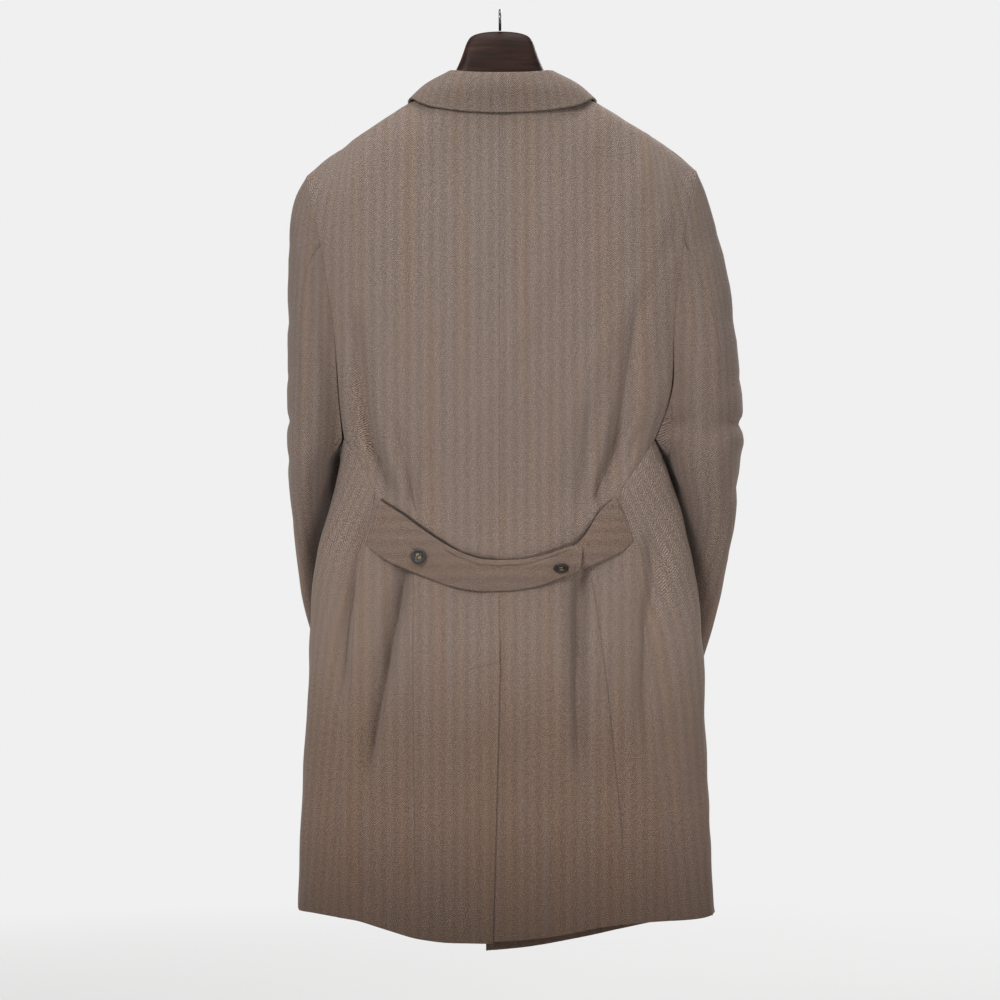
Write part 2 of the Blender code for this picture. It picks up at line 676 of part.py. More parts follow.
# The half-belt's stops, +X first: its two edges, and how far it stands off the back.
BeltStop = namedtuple("BeltStop", "x_top z_top x_bottom z_bottom stand")
LONG_BAND = [
    BeltStop(0.1520, -0.6250, 0.1705, -0.6810, 0.0006),
    BeltStop(0.1263, -0.6409, 0.1425, -0.7009, 0.0030),
    BeltStop(0.1063, -0.6559, 0.1188, -0.7109, 0.0055),
    BeltStop(0.0838, -0.6709, 0.0915, -0.7220, 0.0075),
    BeltStop(0.0538, -0.6885, 0.0563, -0.7340, 0.0090),
    BeltStop(0.0200, -0.6995, 0.0220, -0.7392, 0.0090),
    BeltStop(-0.0140, -0.7000, -0.0140, -0.7385, 0.0085),
    BeltStop(-0.0475, -0.6959, -0.0500, -0.7318, 0.0078),
    BeltStop(-0.0750, -0.6871, -0.0760, -0.7215, 0.0075),
    BeltStop(-0.0980, -0.6800, -0.0950, -0.7152, 0.0075),
    BeltStop(-0.1035, -0.6850, -0.1010, -0.7105, 0.0075),
]
SHORT_BAND = [
    BeltStop(-0.0750, -0.6900, -0.0800, -0.7190, 0.0016),
    BeltStop(-0.0988, -0.6784, -0.1013, -0.7121, 0.0022),
    BeltStop(-0.1113, -0.6621, -0.1163, -0.7059, 0.0028),
    BeltStop(-0.1238, -0.6409, -0.1338, -0.6984, 0.0026),
    BeltStop(-0.1363, -0.6290, -0.1560, -0.6880, 0.0016),
    BeltStop(-0.1460, -0.6215, -0.1685, -0.6765, 0.0006),
]
BELT_ACROSS = 5
BELT_STEPS = 2
BELT_BOW = 0.0030
# The long band's top edge leans out by this much at its middle.
LONG_LEAN = 0.0035


def belt_grid(stops, top_lean=0.0):
    """A band's outer face: rows across its width, columns from the wearer's left."""
    table = with_index(stops)
    last = len(stops) - 1
    columns = []
    for step in range(last * BELT_STEPS + 1):
        at = step / BELT_STEPS
        values = {name: along(table, "index", name, at) for name in BeltStop._fields}
        points = []
        for row in range(BELT_ACROSS + 1):
            share = row / BELT_ACROSS
            x = mix(values["x_top"], values["x_bottom"], share)
            z = mix(values["z_top"], values["z_bottom"], share)
            side = LEFT if x > 0 else RIGHT
            back_y = section(side, turn_at(side, x, z), z)[1]
            bow = BELT_BOW * math.sin(math.pi * share)
            lean = top_lean * (1 - share) * math.sin(math.pi * at / last)
            y = back_y + BELT_CLOTH + LIE_GAP + values["stand"] + bow + lean
            points.append([x, y, z])
        columns.append(points)
    return np.array(columns).transpose(1, 0, 2)


# Meshes

# Faces that meet at more than this angle show an edge.
SHARP_ANGLE = math.radians(50)


def grid_normals(grid, facing, wrap=False):
    """Unit normals of a grid's points; facing is the rough direction of the outer face."""
    down = np.gradient(grid, axis=0)
    if wrap:
        over = np.roll(grid, -1, axis=1) - np.roll(grid, 1, axis=1)
    else:
        over = np.gradient(grid, axis=1)
    normals = unit(np.cross(down, over))
    if (normals * facing).sum() < 0:
        normals = -normals
    return normals


def away_from_axis(grid):
    """The direction of each point from the upright axis through its row's middle."""
    away = grid - grid.mean(axis=1, keepdims=True)
    away[..., 2] = 0
    return away


def pull_back(grid, first_row=False, first_column=False, last_column=False, gap=SEAM_GAP):
    """Moves the named edges half a seam's gap into the panel."""
    pulled = grid.copy()

    def pull(edge, inner):
        return edge + unit(inner - edge) * gap / 2

    if first_row:
        pulled[0] = pull(grid[0], grid[1])
    if first_column:
        pulled[:, 0] = pull(pulled[:, 0], pulled[:, 1])
    if last_column:
        pulled[:, -1] = pull(pulled[:, -1], pulled[:, -2])
    return pulled


def wall(name, grid, normals, thickness, collection, material, missing=()):
    """A closed wall from the grid to a second grid one thickness inwards."""
    rows, columns = grid.shape[:2]
    inner = grid - normals * thickness
    points = np.concatenate([grid.reshape(-1, 3), inner.reshape(-1, 3)])
    count = rows * columns
    outside, edges = [], {}
    for row in range(rows - 1):
        for step in range(columns - 1):
            if (row, step) in missing:
                continue
            start = row * columns + step
            face = (start, start + 1, start + columns + 1, start + columns)
            outside.append(face)
            for a, b in zip(face, face[1:] + face[:1]):
                edges[(a, b)] = True
    rims = [(b, a, a + count, b + count) for a, b in edges if (b, a) not in edges]
    inside = [tuple(index + count for index in reversed(face)) for face in outside]
    mesh = bpy.data.meshes.new(name)
    mesh.from_pydata(points.tolist(), [], outside + inside + rims)
    shape = bmesh.new()
    shape.from_mesh(mesh)
    loose = [vertex for vertex in shape.verts if not vertex.link_faces]
    bmesh.ops.delete(shape, geom=loose, context="VERTS")
    bmesh.ops.recalc_face_normals(shape, faces=shape.faces)
    shape.to_mesh(mesh)
    shape.free()
    mesh.shade_smooth()
    mesh.set_sharp_from_angle(angle=SHARP_ANGLE)
    return add_object(name, mesh, collection, material)


def add_object(name, mesh, collection, material):
    added = bpy.data.objects.new(name, mesh)
    collection.objects.link(added)
    mesh.materials.append(material)
    return added


def make_material(name, colour, roughness, metallic=0.0):
    material = bpy.data.materials.new(name)
    material.use_nodes = True
    shader = material.node_tree.nodes["Principled BSDF"]
    shader.inputs["Base Color"].default_value = (*colour, 1)
    shader.inputs["Roughness"].default_value = roughness
    shader.inputs["Metallic"].default_value = metallic
    return material


TWEED = (0.185, 0.145, 0.118)
HORN = (0.030, 0.022, 0.016)
DARK_WOOD = (0.022, 0.010, 0.007)
STEEL = (0.35, 0.35, 0.36)


def cloth_material(name):
    return make_material(name + "_cloth", TWEED, 0.92)


# Buttons, hanger and hook


BUTTON_RADIUS = 0.0098
BUTTON_THICK = 0.0036
BUTTON_STEPS = 16
BUTTON_MERGE = 0.00005
# Shares of the radius and of the thickness, from the dished middle over the rim to the back.
ButtonStop = namedtuple("ButtonStop", "out up")
BUTTON_PROFILE = [
    ButtonStop(0.00, 0.72),
    ButtonStop(0.60, 0.72),
    ButtonStop(0.74, 1.00),
    ButtonStop(0.93, 0.94),
    ButtonStop(1.00, 0.60),
    ButtonStop(0.90, 0.12),
    ButtonStop(0.62, 0.00),
    ButtonStop(0.00, 0.00),
]


def button(name, centre, normal, collection):
    """A turned button whose back touches the point it is given, less the lying gap."""
    mesh = bpy.data.meshes.new(name)
    points = [(BUTTON_RADIUS * stop.out, 0, BUTTON_THICK * stop.up) for stop in BUTTON_PROFILE]
    edges = [(i, i + 1) for i in range(len(points) - 1)]
    mesh.from_pydata(points, edges, [])
    placed = add_object(name, mesh, collection, make_material(name + "_horn", HORN, 0.35))
    turn = placed.modifiers.new("turned", "SCREW")
    turn.steps = turn.render_steps = BUTTON_STEPS
    turn.use_merge_vertices = True
    turn.merge_threshold = BUTTON_MERGE
    placed.rotation_mode = "QUATERNION"
    placed.rotation_quaternion = Vector(normal).to_track_quat("Z", "Y")
    placed.location = Vector(centre) + Vector(normal) * LIE_GAP
    return placed


def nearest_on(grid, normals, x, z):
    """The grid's point nearest to this place as seen from the back or front, and its normal."""
    far = np.hypot(grid[..., 0] - x, grid[..., 2] - z)
    row, step = np.unravel_index(np.argmin(far), far.shape)
    return grid[row, step], normals[row, step]


HangerStop = namedtuple("HangerStop", "x top bottom thick")
# The neck shows; the arms lie under the shoulders, whose crest gives their top.
HANGER_NECK = [
    HangerStop(0.000, -0.0243, -0.1400, 0.034),
    HangerStop(0.020, -0.0254, -0.1385, 0.034),
    HangerStop(0.034, -0.0288, -0.1360, 0.034),
    HangerStop(0.0415, -0.0345, -0.1345, 0.034),
    HangerStop(0.0450, -0.0450, -0.1335, 0.034),
    HangerStop(0.0495, -0.0590, -0.1325, 0.034),
    HangerStop(0.0560, -0.0735, -0.1310, 0.034),
    HangerStop(0.0640, -0.0905, -0.1310, 0.030),
]
HangerArm = namedtuple("HangerArm", "x tall thick")
HANGER_ARMS = [
    HangerArm(0.0745, 0.036, 0.024),
    HangerArm(0.084, 0.036, 0.027),
    HangerArm(0.116, 0.038, 0.031),
    HangerArm(0.148, 0.037, 0.031),
    HangerArm(0.178, 0.036, 0.029),
    HangerArm(0.205, 0.034, 0.026),
    HangerArm(0.222, 0.028, 0.018),
    HangerArm(0.228, 0.018, 0.012),
]
HANGER_AROUND = 16
# The arms' top lies this far under the cloth, and their rounded ends lower.
HANGER_CLEAR = 0.0009
HANGER_END_DROP = 0.006


def hanger_sections():
    """Upright sections from one end of the hanger to the other: x, top, bottom, thickness."""
    halves = {}
    for side in (LEFT, RIGHT):
        half = [(side * stop.x, stop.top, stop.bottom, stop.thick) for stop in HANGER_NECK]
        for arm in HANGER_ARMS:
            top = crest_level(side, arm.x) - CLOTH - HANGER_CLEAR
            if arm is HANGER_ARMS[-1]:
                top -= HANGER_END_DROP
            half.append((side * arm.x, top, top - arm.tall, arm.thick))
        halves[side] = half
    return halves[RIGHT][:0:-1] + halves[LEFT]


def hanger(collection):
    rings = []
    for x, top, bottom, thick in hanger_sections():
        ring = []
        for step in range(HANGER_AROUND):
            angle = 2 * math.pi * step / HANGER_AROUND
            y = thick / 2 * math.cos(angle)
            z = (top + bottom) / 2 + (top - bottom) / 2 * math.sin(angle)
            ring.append((x, y, z))
        rings.append(ring)
    points = [point for ring in rings for point in ring]
    faces = []
    for row in range(len(rings) - 1):
        for step in range(HANGER_AROUND):
            a = row * HANGER_AROUND + step
            b = row * HANGER_AROUND + (step + 1) % HANGER_AROUND
            faces.append((a, b, b + HANGER_AROUND, a + HANGER_AROUND))
    faces.append(tuple(range(HANGER_AROUND)))
    faces.append(tuple(range(len(points) - HANGER_AROUND, len(points))))
    mesh = bpy.data.meshes.new("hanger_body")
    mesh.from_pydata(points, [], faces)
    shape = bmesh.new()
    shape.from_mesh(mesh)
    bmesh.ops.recalc_face_normals(shape, faces=shape.faces)
    shape.to_mesh(mesh)
    shape.free()
    mesh.shade_smooth()
    wood = make_material("dark_wood", DARK_WOOD, 0.4)
    return add_object("hanger_body", mesh, collection, wood)


HOOK_WIRE = 0.0040
HOOK_RADIUS = 0.0112
HOOK_FOOT = -0.0239
# The wire bends back by this much, this share of the way up from its foot.
HOOK_BEND_BACK, HOOK_BEND_SHARE = 0.0012, 0.7
HOOK_START = math.radians(-58)
HOOK_SWEEP = math.radians(240)
HOOK_POINTS = 22


def hook(collection):
    """The hook's wire, in the plane across the hanger: up from the wood, round and over."""
    wire = HOOK_WIRE / 2
    middle = wire - HOOK_RADIUS
    curve = bpy.data.curves.new("hanger_hook", "CURVE")
    curve.dimensions = "3D"
    curve.bevel_depth = wire
    curve.bevel_resolution = 2
    curve.use_fill_caps = True
    line = curve.splines.new("POLY")
    bend_z = mix(HOOK_FOOT, middle - HOOK_RADIUS, HOOK_BEND_SHARE)
    route = [(0, 0, HOOK_FOOT), (0, HOOK_BEND_BACK, bend_z)]
    for step in range(HOOK_POINTS + 1):
        angle = HOOK_START + HOOK_SWEEP * step / HOOK_POINTS
        route.append((0, HOOK_RADIUS * math.cos(angle), middle + HOOK_RADIUS * math.sin(angle)))
    line.points.add(len(route) - 1)
    for point, place in zip(line.points, route):
        point.co = (*place, 1)
    placed = bpy.data.objects.new("hanger_hook", curve)
    collection.objects.link(placed)
    curve.materials.append(make_material("steel_wire", STEEL, 0.3, 1.0))
    return placed


# The whole coat

# Panels that meet at less than about 70 degrees are mitred.
MITRE_LEAST = 0.35

# Where each belt button lies, how far it tips in degrees, and how far its middle then stands off.
BeltButton = namedtuple("BeltButton", "name x z tilt stand")
BELT_BUTTONS = [
    BeltButton("left", 0.0950, -0.6960, 8, 0.0005),
    BeltButton("right", -0.0790, -0.7080, -42, 0.0050),
]
FRONT_BUTTONS = [-0.430, -0.560, -0.690]


def build_bodice(collection):
    """Back and front panels and sleeves, mitred along the seams that they share."""
    low = YOKE_ROWS + ARMHOLE_ROWS
    for side in (LEFT, RIGHT):
        name = side_name(side)
        back, front = back_panel(side), front_panel(side)
        arm = sleeve(side, armhole_loop(back, front))
        back_out = np.zeros_like(back) + [0, 1, 0]
        back_normals = grid_normals(back, back_out)
        front_normals = grid_normals(front, front * [1, 1, 0])
        arm_normals = grid_normals(arm, away_from_axis(arm), wrap=True)
        on_shoulder = len(NECK_COLUMNS)
        back_normals[0, on_shoulder:, 1] = 0
        front_normals[0, :, 1] = 0
        back_normals[:, 0, 0] = 0
        share_edge(back_normals, [(row, -1) for row in range(low, len(back))],
                   front_normals, [(row + UNDERARM_ROWS, 0) for row in range(low, len(back))])
        loop = len(arm[0])
        down = [(row, -1) for row in range(low + 1)]
        up = [(row, 0) for row in range(low + UNDERARM_ROWS - 1, 0, -1)]
        share_edge(back_normals, down, arm_normals, [(0, step) for step in range(low + 1)])
        share_edge(front_normals, up, arm_normals, [(0, step) for step in range(low + 1, loop)])
        front_normals[0, 0] = back_normals[0, -1]
        front_normals[low + UNDERARM_ROWS, 0] = back_normals[low, -1]
        build_back(name, side, back, unit(back_normals), collection)
        front = pull_back(front, first_row=True, first_column=True)
        wall("front_" + name, front, unit(front_normals), CLOTH, collection,
             cloth_material("front_" + name))
        build_sleeve(name, arm, unit(arm_normals), low, collection)


def share_edge(first, first_places, second, second_places):
    """Gives matching points of two panels the mean of their normals, but not where they fold back."""
    for a, b in zip(first_places, second_places):
        one, other = unit(first[a]), unit(second[b])
        if np.dot(one, other) > MITRE_LEAST:
            first[a] = second[b] = unit(one + other)


def build_back(name, side, back, normals, collection):
    """A back panel; the wearer's right one runs on under the vent."""
    missing = set()
    back = pull_back(back, first_row=True, first_column=True, last_column=True)
    if side == RIGHT:
        flaps = []
        steps = VENT_UNDERLAP_COLUMNS
        for step in range(steps, 0, -1):
            x = VENT_UNDERLAP * step / steps
            flap = back[:, 0].copy()
            flap[:, 0] = x
            for row, point in enumerate(flap):
                z = point[2]
                if z <= VENT_OPEN_Z:
                    flap[row, 1] = body_point(LEFT, turn_at(LEFT, x, z), z)[1]
                    flap[row, 1] -= UNDER_PRESS
            flaps.append(flap)
        first_open = int(np.argmax(back[:, 0, 2] <= VENT_OPEN_Z))
        missing = {(row, step) for row in range(first_open) for step in range(steps)}
        back = np.concatenate([np.array(flaps).transpose(1, 0, 2), back], axis=1)
        edge = np.repeat(normals[:, :1], steps, axis=1)
        normals = np.concatenate([edge, normals], axis=1)
    wall("back_" + name, back, normals, CLOTH, collection, cloth_material("back_" + name),
         missing)


# How many points of a ring, each way from its top, the top sleeve's seams lie.
SLEEVE_BACK_SEAM, SLEEVE_FRONT_SEAM = 5, 4


def build_sleeve(name, arm, normals, low, collection):
    """The top sleeve's and the under sleeve's walls, parted at two seams down the arm."""
    count = arm.shape[1]
    front_seam = count - SLEEVE_FRONT_SEAM
    top = [step % count for step in range(front_seam, count + SLEEVE_BACK_SEAM + 1)]
    under = list(range(SLEEVE_BACK_SEAM, front_seam + 1))
    for part, steps in (("sleeve_top_", top), ("sleeve_under_", under)):
        grid = pull_back(arm[:, steps], first_row=True)
        grid = pull_back(grid, first_column=True, last_column=True, gap=SLEEVE_SEAM_GAP)
        wall(part + name, grid, normals[:, steps], CLOTH, collection,
             cloth_material(part + name))


def build_collar(collection):
    grid = collar_grid()
    facing = np.zeros_like(grid)
    facing[:, 3] = [0, 0, 1]
    normals = grid_normals(grid, facing)
    wall("collar", grid, normals, COLLAR_CLOTH, collection, cloth_material("collar"))
    for name, side in SIDES.items():
        lapel = lapel_grid(side)
        facing = np.zeros_like(lapel) + [0, -1, 0]
        wall("lapel_" + name, lapel, grid_normals(lapel, facing), COLLAR_CLOTH, collection,
             cloth_material("lapel_" + name))


def build_belt(collection):
    """The half-belt's two bands and their buttons."""
    grids = {"left": belt_grid(LONG_BAND, LONG_LEAN), "right": belt_grid(SHORT_BAND)}
    normals = {}
    for name, grid in grids.items():
        normals[name] = grid_normals(grid, np.zeros_like(grid) + [0, 1, 0])
        wall("belt_" + name, grid, normals[name], BELT_CLOTH, collection,
             cloth_material("belt_" + name))
    for item in BELT_BUTTONS:
        point, normal = nearest_on(grids["left"], normals["left"], item.x, item.z)
        angle = math.radians(item.tilt)
        y, up = normal[1], normal[2]
        tipped = np.array([normal[0], y * math.cos(angle) - up * math.sin(angle),
                           y * math.sin(angle) + up * math.cos(angle)])
        centre = point + normal * item.stand
        button("belt_button_" + item.name, centre, unit(tipped), collection)


def build_front_buttons(collection):
    lift = front_overlap_lift(LEFT, 0)
    for index, z in enumerate(FRONT_BUTTONS, 1):
        point = body_point(LEFT, 1.0, z, lift)
        button(f"front_button_{index}", point, (0, -1, 0), collection)


def main():
    for old in list(bpy.data.objects):
        bpy.data.objects.remove(old, do_unlink=True)
    collection = bpy.data.collections.new("herringbone_coat")
    bpy.context.scene.collection.children.link(collection)
    build_bodice(collection)
    build_collar(collection)
    build_belt(collection)
    build_front_buttons(collection)
    hanger(collection)
    hook(collection)


main()
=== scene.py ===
"""The look of the herringbone coat on its hanger: cloth, creases, stitching, horn, wood and wire.

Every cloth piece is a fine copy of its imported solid, smoothed, creased and given the weave.
The creases that the photograph shows are placed by its pixels, on the back.
"""

import math
from collections import namedtuple

import bmesh
import bpy
import numpy as np
from mathutils import Matrix, Vector


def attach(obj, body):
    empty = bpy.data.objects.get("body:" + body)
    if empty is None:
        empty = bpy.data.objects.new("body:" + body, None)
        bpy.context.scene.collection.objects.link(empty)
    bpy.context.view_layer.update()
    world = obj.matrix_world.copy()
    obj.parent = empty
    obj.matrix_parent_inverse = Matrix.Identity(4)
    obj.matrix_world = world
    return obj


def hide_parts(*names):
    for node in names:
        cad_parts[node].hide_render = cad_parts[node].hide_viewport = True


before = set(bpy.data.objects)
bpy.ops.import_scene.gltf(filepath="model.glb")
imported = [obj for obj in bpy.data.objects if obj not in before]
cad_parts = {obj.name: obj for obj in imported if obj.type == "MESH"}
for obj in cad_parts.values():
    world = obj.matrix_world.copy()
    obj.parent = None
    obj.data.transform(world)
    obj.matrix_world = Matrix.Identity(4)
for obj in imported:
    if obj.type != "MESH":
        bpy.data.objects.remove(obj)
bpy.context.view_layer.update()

# The photograph is square and taken from behind, at this distance and height. Across it is this
# much of the hanger's plane, in metres.
CAMERA_FAR = 3.6
CAMERA_Z = -0.6246
PHOTO_WIDE = 1.28
PHOTO_PIXELS = 1000
PHOTO_MIDDLE = PHOTO_PIXELS / 2

# The wearer's left is +X, and it is left in the photograph too.
LEFT, RIGHT = 1, -1


def in_photo(points):
    """The photograph's pixel at which each point of the coat is seen."""
    scale = PHOTO_WIDE / PHOTO_PIXELS * (1 - points[:, 1] / CAMERA_FAR)
    px = PHOTO_MIDDLE - points[:, 0] / scale
    py = PHOTO_MIDDLE - (points[:, 2] - CAMERA_Z) / scale
    return np.stack([px, py], axis=1)


# How far behind the hanger the back lies, for the places of marks in the cloth.
BACK_DEPTH = 0.08


def from_photo(px, py):
    """The place (x, 0, z) on the back that this pixel shows."""
    scale = PHOTO_WIDE / PHOTO_PIXELS * (1 - BACK_DEPTH / CAMERA_FAR)
    return (PHOTO_MIDDLE - px) * scale, 0.0, CAMERA_Z - (py - PHOTO_MIDDLE) * scale


def ease(t):
    """A smooth step that leaves 0 and reaches 1 without a corner."""
    t = np.clip(t, 0, 1)
    return t * t * (3 - 2 * t)


# Creases

# Each is a trough along a path of the photograph's pixels. Left and right are how many pixels it
# spreads to each side, depth is into the cloth in metres, and a negative depth is a ridge.
# A power of 2 gives a round trough, and a smaller one a sharper line.
Crease = namedtuple("Crease", "path left right depth power")
BACK_CREASES = [
    # Above the belt, image left
    Crease([(352, 300), (360, 380), (366, 421), (375, 457), (393, 499), (402, 520)], 6, 8, 0.0088, 1.4),
    Crease([(394, 415), (398, 438), (405, 465), (410, 484), (415, 512), (418, 530)], 3, 7, 0.0062, 1.1),
    Crease([(378, 410), (387, 450), (401, 496)], 6, 6, -0.0024, 2),
    Crease([(424, 440), (429, 480), (436, 525)], 8, 8, 0.0014, 2),
    Crease([(341, 385), (352, 436), (374, 482), (381, 498)], 4, 4, 0.0016, 1.5),
    # Above the belt, image right
    Crease([(640, 300), (628, 387), (620, 428), (611, 472), (603, 494), (590, 520)], 8, 5, 0.0090, 1.3),
    Crease([(594, 395), (589, 441), (584, 477), (582, 506), (582, 530)], 8, 8, 0.0058, 1.8),
    Crease([(608, 462), (599, 489), (590, 514)], 3, 4, 0.0024, 1.1),
    Crease([(612, 395), (604, 450), (594, 492)], 6, 6, -0.0020, 2),
    Crease([(572, 440), (568, 480), (562, 530)], 8, 8, 0.0014, 2),
    Crease([(646, 420), (632, 452), (616, 488)], 5, 5, 0.0022, 1.6),
    # Below the belt, image left: the dark pleat, its lit edge and the fine line beside it
    Crease([(409, 552), (406, 569), (397, 613), (390, 651), (383, 683), (371, 750), (362, 810)],
           7, 4, 0.0140, 1.3),
    Crease([(421, 566), (411, 640), (396, 760)], 7, 7, -0.0022, 2),
    Crease([(413, 570), (413, 700), (415, 880)], 3, 3, 0.0012, 1.2),
    Crease([(366, 790), (361, 840), (357, 890)], 9, 9, 0.0024, 2),
    # The left side seam's pressed edge, with a soft hollow on its outer side
    Crease([(374, 505), (362, 540), (354, 574), (350, 608), (346, 650), (346, 720)], 14, 3, 0.0110, 1.6),
    # Below the belt, image right
    Crease([(585, 550), (581, 588), (578, 613), (579, 647), (577, 671), (580, 740), (586, 810)],
           7, 7, 0.0125, 1.5),
    Crease([(568, 572), (561, 660), (565, 790)], 8, 8, -0.0022, 2),
    Crease([(592, 576), (601, 634), (608, 690), (623, 838)], 3, 3, 0.0015, 1.2),
    Crease([(645, 512), (650, 535), (656, 562), (656, 593), (648, 622), (645, 683), (652, 780)],
           8, 8, 0.0095, 1.6),
    Crease([(662, 640), (664, 740), (672, 860)], 8, 8, 0.0030, 2),
    Crease([(621, 500), (629, 520), (638, 546), (640, 600)], 3, 4, 0.0016, 1.3),
    Crease([(626, 590), (629, 640), (632, 700)], 8, 8, 0.0016, 2),
    # Soft hollows right of the vent, and a thin bright ridge left of it
    Crease([(515, 720), (521, 810), (527, 930)], 8, 8, 0.0024, 2),
    Crease([(541, 710), (544, 820), (548, 925)], 8, 8, 0.0018, 2),
    Crease([(562, 700), (565, 820), (568, 915)], 9, 9, 0.0016, 2),
    Crease([(464, 680), (464, 725), (463, 775)], 4, 4, -0.0009, 2),
    # The pressed arc at the lower left
    Crease([(349, 860), (357, 885), (370, 899), (387, 907)], 5, 5, 0.0024, 1.6),
    Crease([(338, 868), (350, 898), (372, 912)], 8, 8, -0.0014, 2),
    Crease([(405, 866), (408, 890), (412, 910)], 5, 5, 0.0016, 2),
]
# Soft folds of the front, which the photograph doesn't show, at the pixels they lie behind.
FRONT_CREASES = [
    Crease([(352, 300), (366, 400), (384, 500)], 11, 11, 0.0030, 2),
    Crease([(640, 300), (628, 400), (612, 500)], 11, 11, 0.0030, 2),
    Crease([(420, 420), (430, 500), (444, 600)], 12, 12, 0.0020, 2),
    Crease([(566, 440), (560, 520), (552, 600)], 12, 12, 0.0018, 2),
    Crease([(380, 640), (372, 760), (366, 900)], 14, 14, 0.0040, 2),
    Crease([(430, 620), (426, 760), (430, 920)], 12, 12, 0.0028, 2),
    Crease([(604, 620), (612, 760), (622, 900)], 14, 14, 0.0038, 2),
    Crease([(552, 640), (556, 760), (560, 900)], 12, 12, 0.0024, 2),
    Crease([(330, 560), (340, 620), (336, 720)], 11, 11, 0.0034, 2),
    Crease([(668, 560), (660, 640), (664, 740)], 11, 11, 0.0034, 2),
]
# A crease swells and fades over these shares of its length.
FADE_IN, FADE_OUT = 0.20, 0.28
# A crease counts out to this many times its spread.
CREASE_REACH = 3.5
# Each cut of a path's corner takes this share of the stretches beside it.
CORNER_CUT = 0.25


def rounded(path):
    """The path with its corners cut twice, so that it bends softly."""
    line = np.array(path, float)
    for _ in range(2):
        early = (1 - CORNER_CUT) * line[:-1] + CORNER_CUT * line[1:]
        late = CORNER_CUT * line[:-1] + (1 - CORNER_CUT) * line[1:]
        middle = np.stack([early, late], axis=1).reshape(-1, 2)
        line = np.concatenate([line[:1], middle[1:-1], line[-1:]])
    return line


def one_crease(seen, crease):
    """How deep one crease presses in at each of these pixels."""
    line = rounded(crease.path)
    steps = np.linalg.norm(np.diff(line, axis=0), axis=1)
    runs = np.concatenate([[0], np.cumsum(steps)]) / steps.sum()
    best = np.full(len(seen), np.inf)
    at = np.zeros(len(seen))
    across = np.zeros(len(seen))
    for start, end, first, last in zip(line, line[1:], runs, runs[1:]):
        way = end - start
        run = np.clip((seen - start) @ way / (way @ way), 0, 1)
        off = seen - start - run[:, None] * way
        far = np.linalg.norm(off, axis=1)
        nearer = far < best
        best[nearer] = far[nearer]
        across[nearer] = off[nearer, 0]
        at[nearer] = (first + (last - first) * run)[nearer]
    spread = np.where(across < 0, crease.left, crease.right)
    swell = ease(at / FADE_IN) * ease((1 - at) / FADE_OUT)
    return crease.depth * swell * np.exp(-((best / spread) ** crease.power))


def crease_depth(seen, creases):
    """How deep all the creases press each point in."""
    total = np.zeros(len(seen))
    for crease in creases:
        room = CREASE_REACH * max(crease.left, crease.right)
        low = np.min(crease.path, axis=0) - room
        high = np.max(crease.path, axis=0) + room
        near = ((seen > low) & (seen < high)).all(axis=1)
        total[near] += one_crease(seen[near], crease)
    return total


# The belt's edges in the photograph, how deep the back tucks in behind its top edge, and how
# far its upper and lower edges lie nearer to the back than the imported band's.
BeltPlace = namedtuple("BeltPlace", "px top bottom tuck upper lower")
BELT_PLACES = [
    BeltPlace(358, 494, 547, 0.0000, 0.0034, 0.0034),
    BeltPlace(368, 496, 550, 0.0000, 0.0026, 0.0026),
    BeltPlace(378, 498, 554, 0.0008, 0.0006, 0.0012),
    BeltPlace(400, 512, 565, 0.0045, 0.0008, 0.0028),
    BeltPlace(429, 534, 581, 0.0070, 0.0045, 0.0072),
    BeltPlace(458, 553, 590, 0.0075, 0.0070, 0.0086),
    BeltPlace(499, 561, 593, 0.0060, 0.0080, 0.0088),
    BeltPlace(528, 560, 590, 0.0045, 0.0068, 0.0078),
    BeltPlace(550, 553, 583, 0.0045, 0.0034, 0.0042),
    BeltPlace(572, 545, 573, 0.0040, 0.0010, 0.0010),
    BeltPlace(591, 525, 565, 0.0040, 0.0004, 0.0008),
    BeltPlace(606, 503, 559, 0.0028, 0.0004, 0.0008),
    BeltPlace(619, 494, 554, 0.0000, 0.0008, 0.0012),
    BeltPlace(630, 494, 550, 0.0000, 0.0026, 0.0026),
    BeltPlace(640, 494, 545, 0.0000, 0.0034, 0.0034),
]
# The tuck starts this many pixels above the belt's edge and is full this many further down.
TUCK_START, TUCK_REACH = 0.5, 4.0
# The back swells this many pixels above that edge, over this reach, by this share of the tuck.
BLOUSE_UP, BLOUSE_SPREAD, BLOUSE_SHARE = 9, 6, 0.16


def belt_column(name, px):
    """One column of the belt's table at these pixels across."""
    return np.interp(px, [place.px for place in BELT_PLACES],
                     [getattr(place, name) for place in BELT_PLACES])


def belt_tuck(seen):
    """The back blouses a little over the belt's top edge and tucks in behind it."""
    px, py = seen[:, 0], seen[:, 1]
    top, bottom = belt_column("top", px), belt_column("bottom", px)
    tuck = belt_column("tuck", px)
    half = (bottom - top) / 2
    pressed = ease((py - top + TUCK_START) / TUCK_REACH) * ease((bottom - py) / half)
    swollen = np.exp(-(((py - top + BLOUSE_UP) / BLOUSE_SPREAD) ** 2))
    return tuck * (pressed - BLOUSE_SHARE * swollen)


def lay_belt(points):
    """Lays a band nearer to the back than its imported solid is."""
    seen = in_photo(points)
    px, py = seen[:, 0], seen[:, 1]
    top, bottom = belt_column("top", px), belt_column("bottom", px)
    share = np.clip((py - top) / (bottom - top), 0, 1)
    laid = points.copy()
    laid[:, 1] -= (1 - share) * belt_column("upper", px) + share * belt_column("lower", px)
    return laid


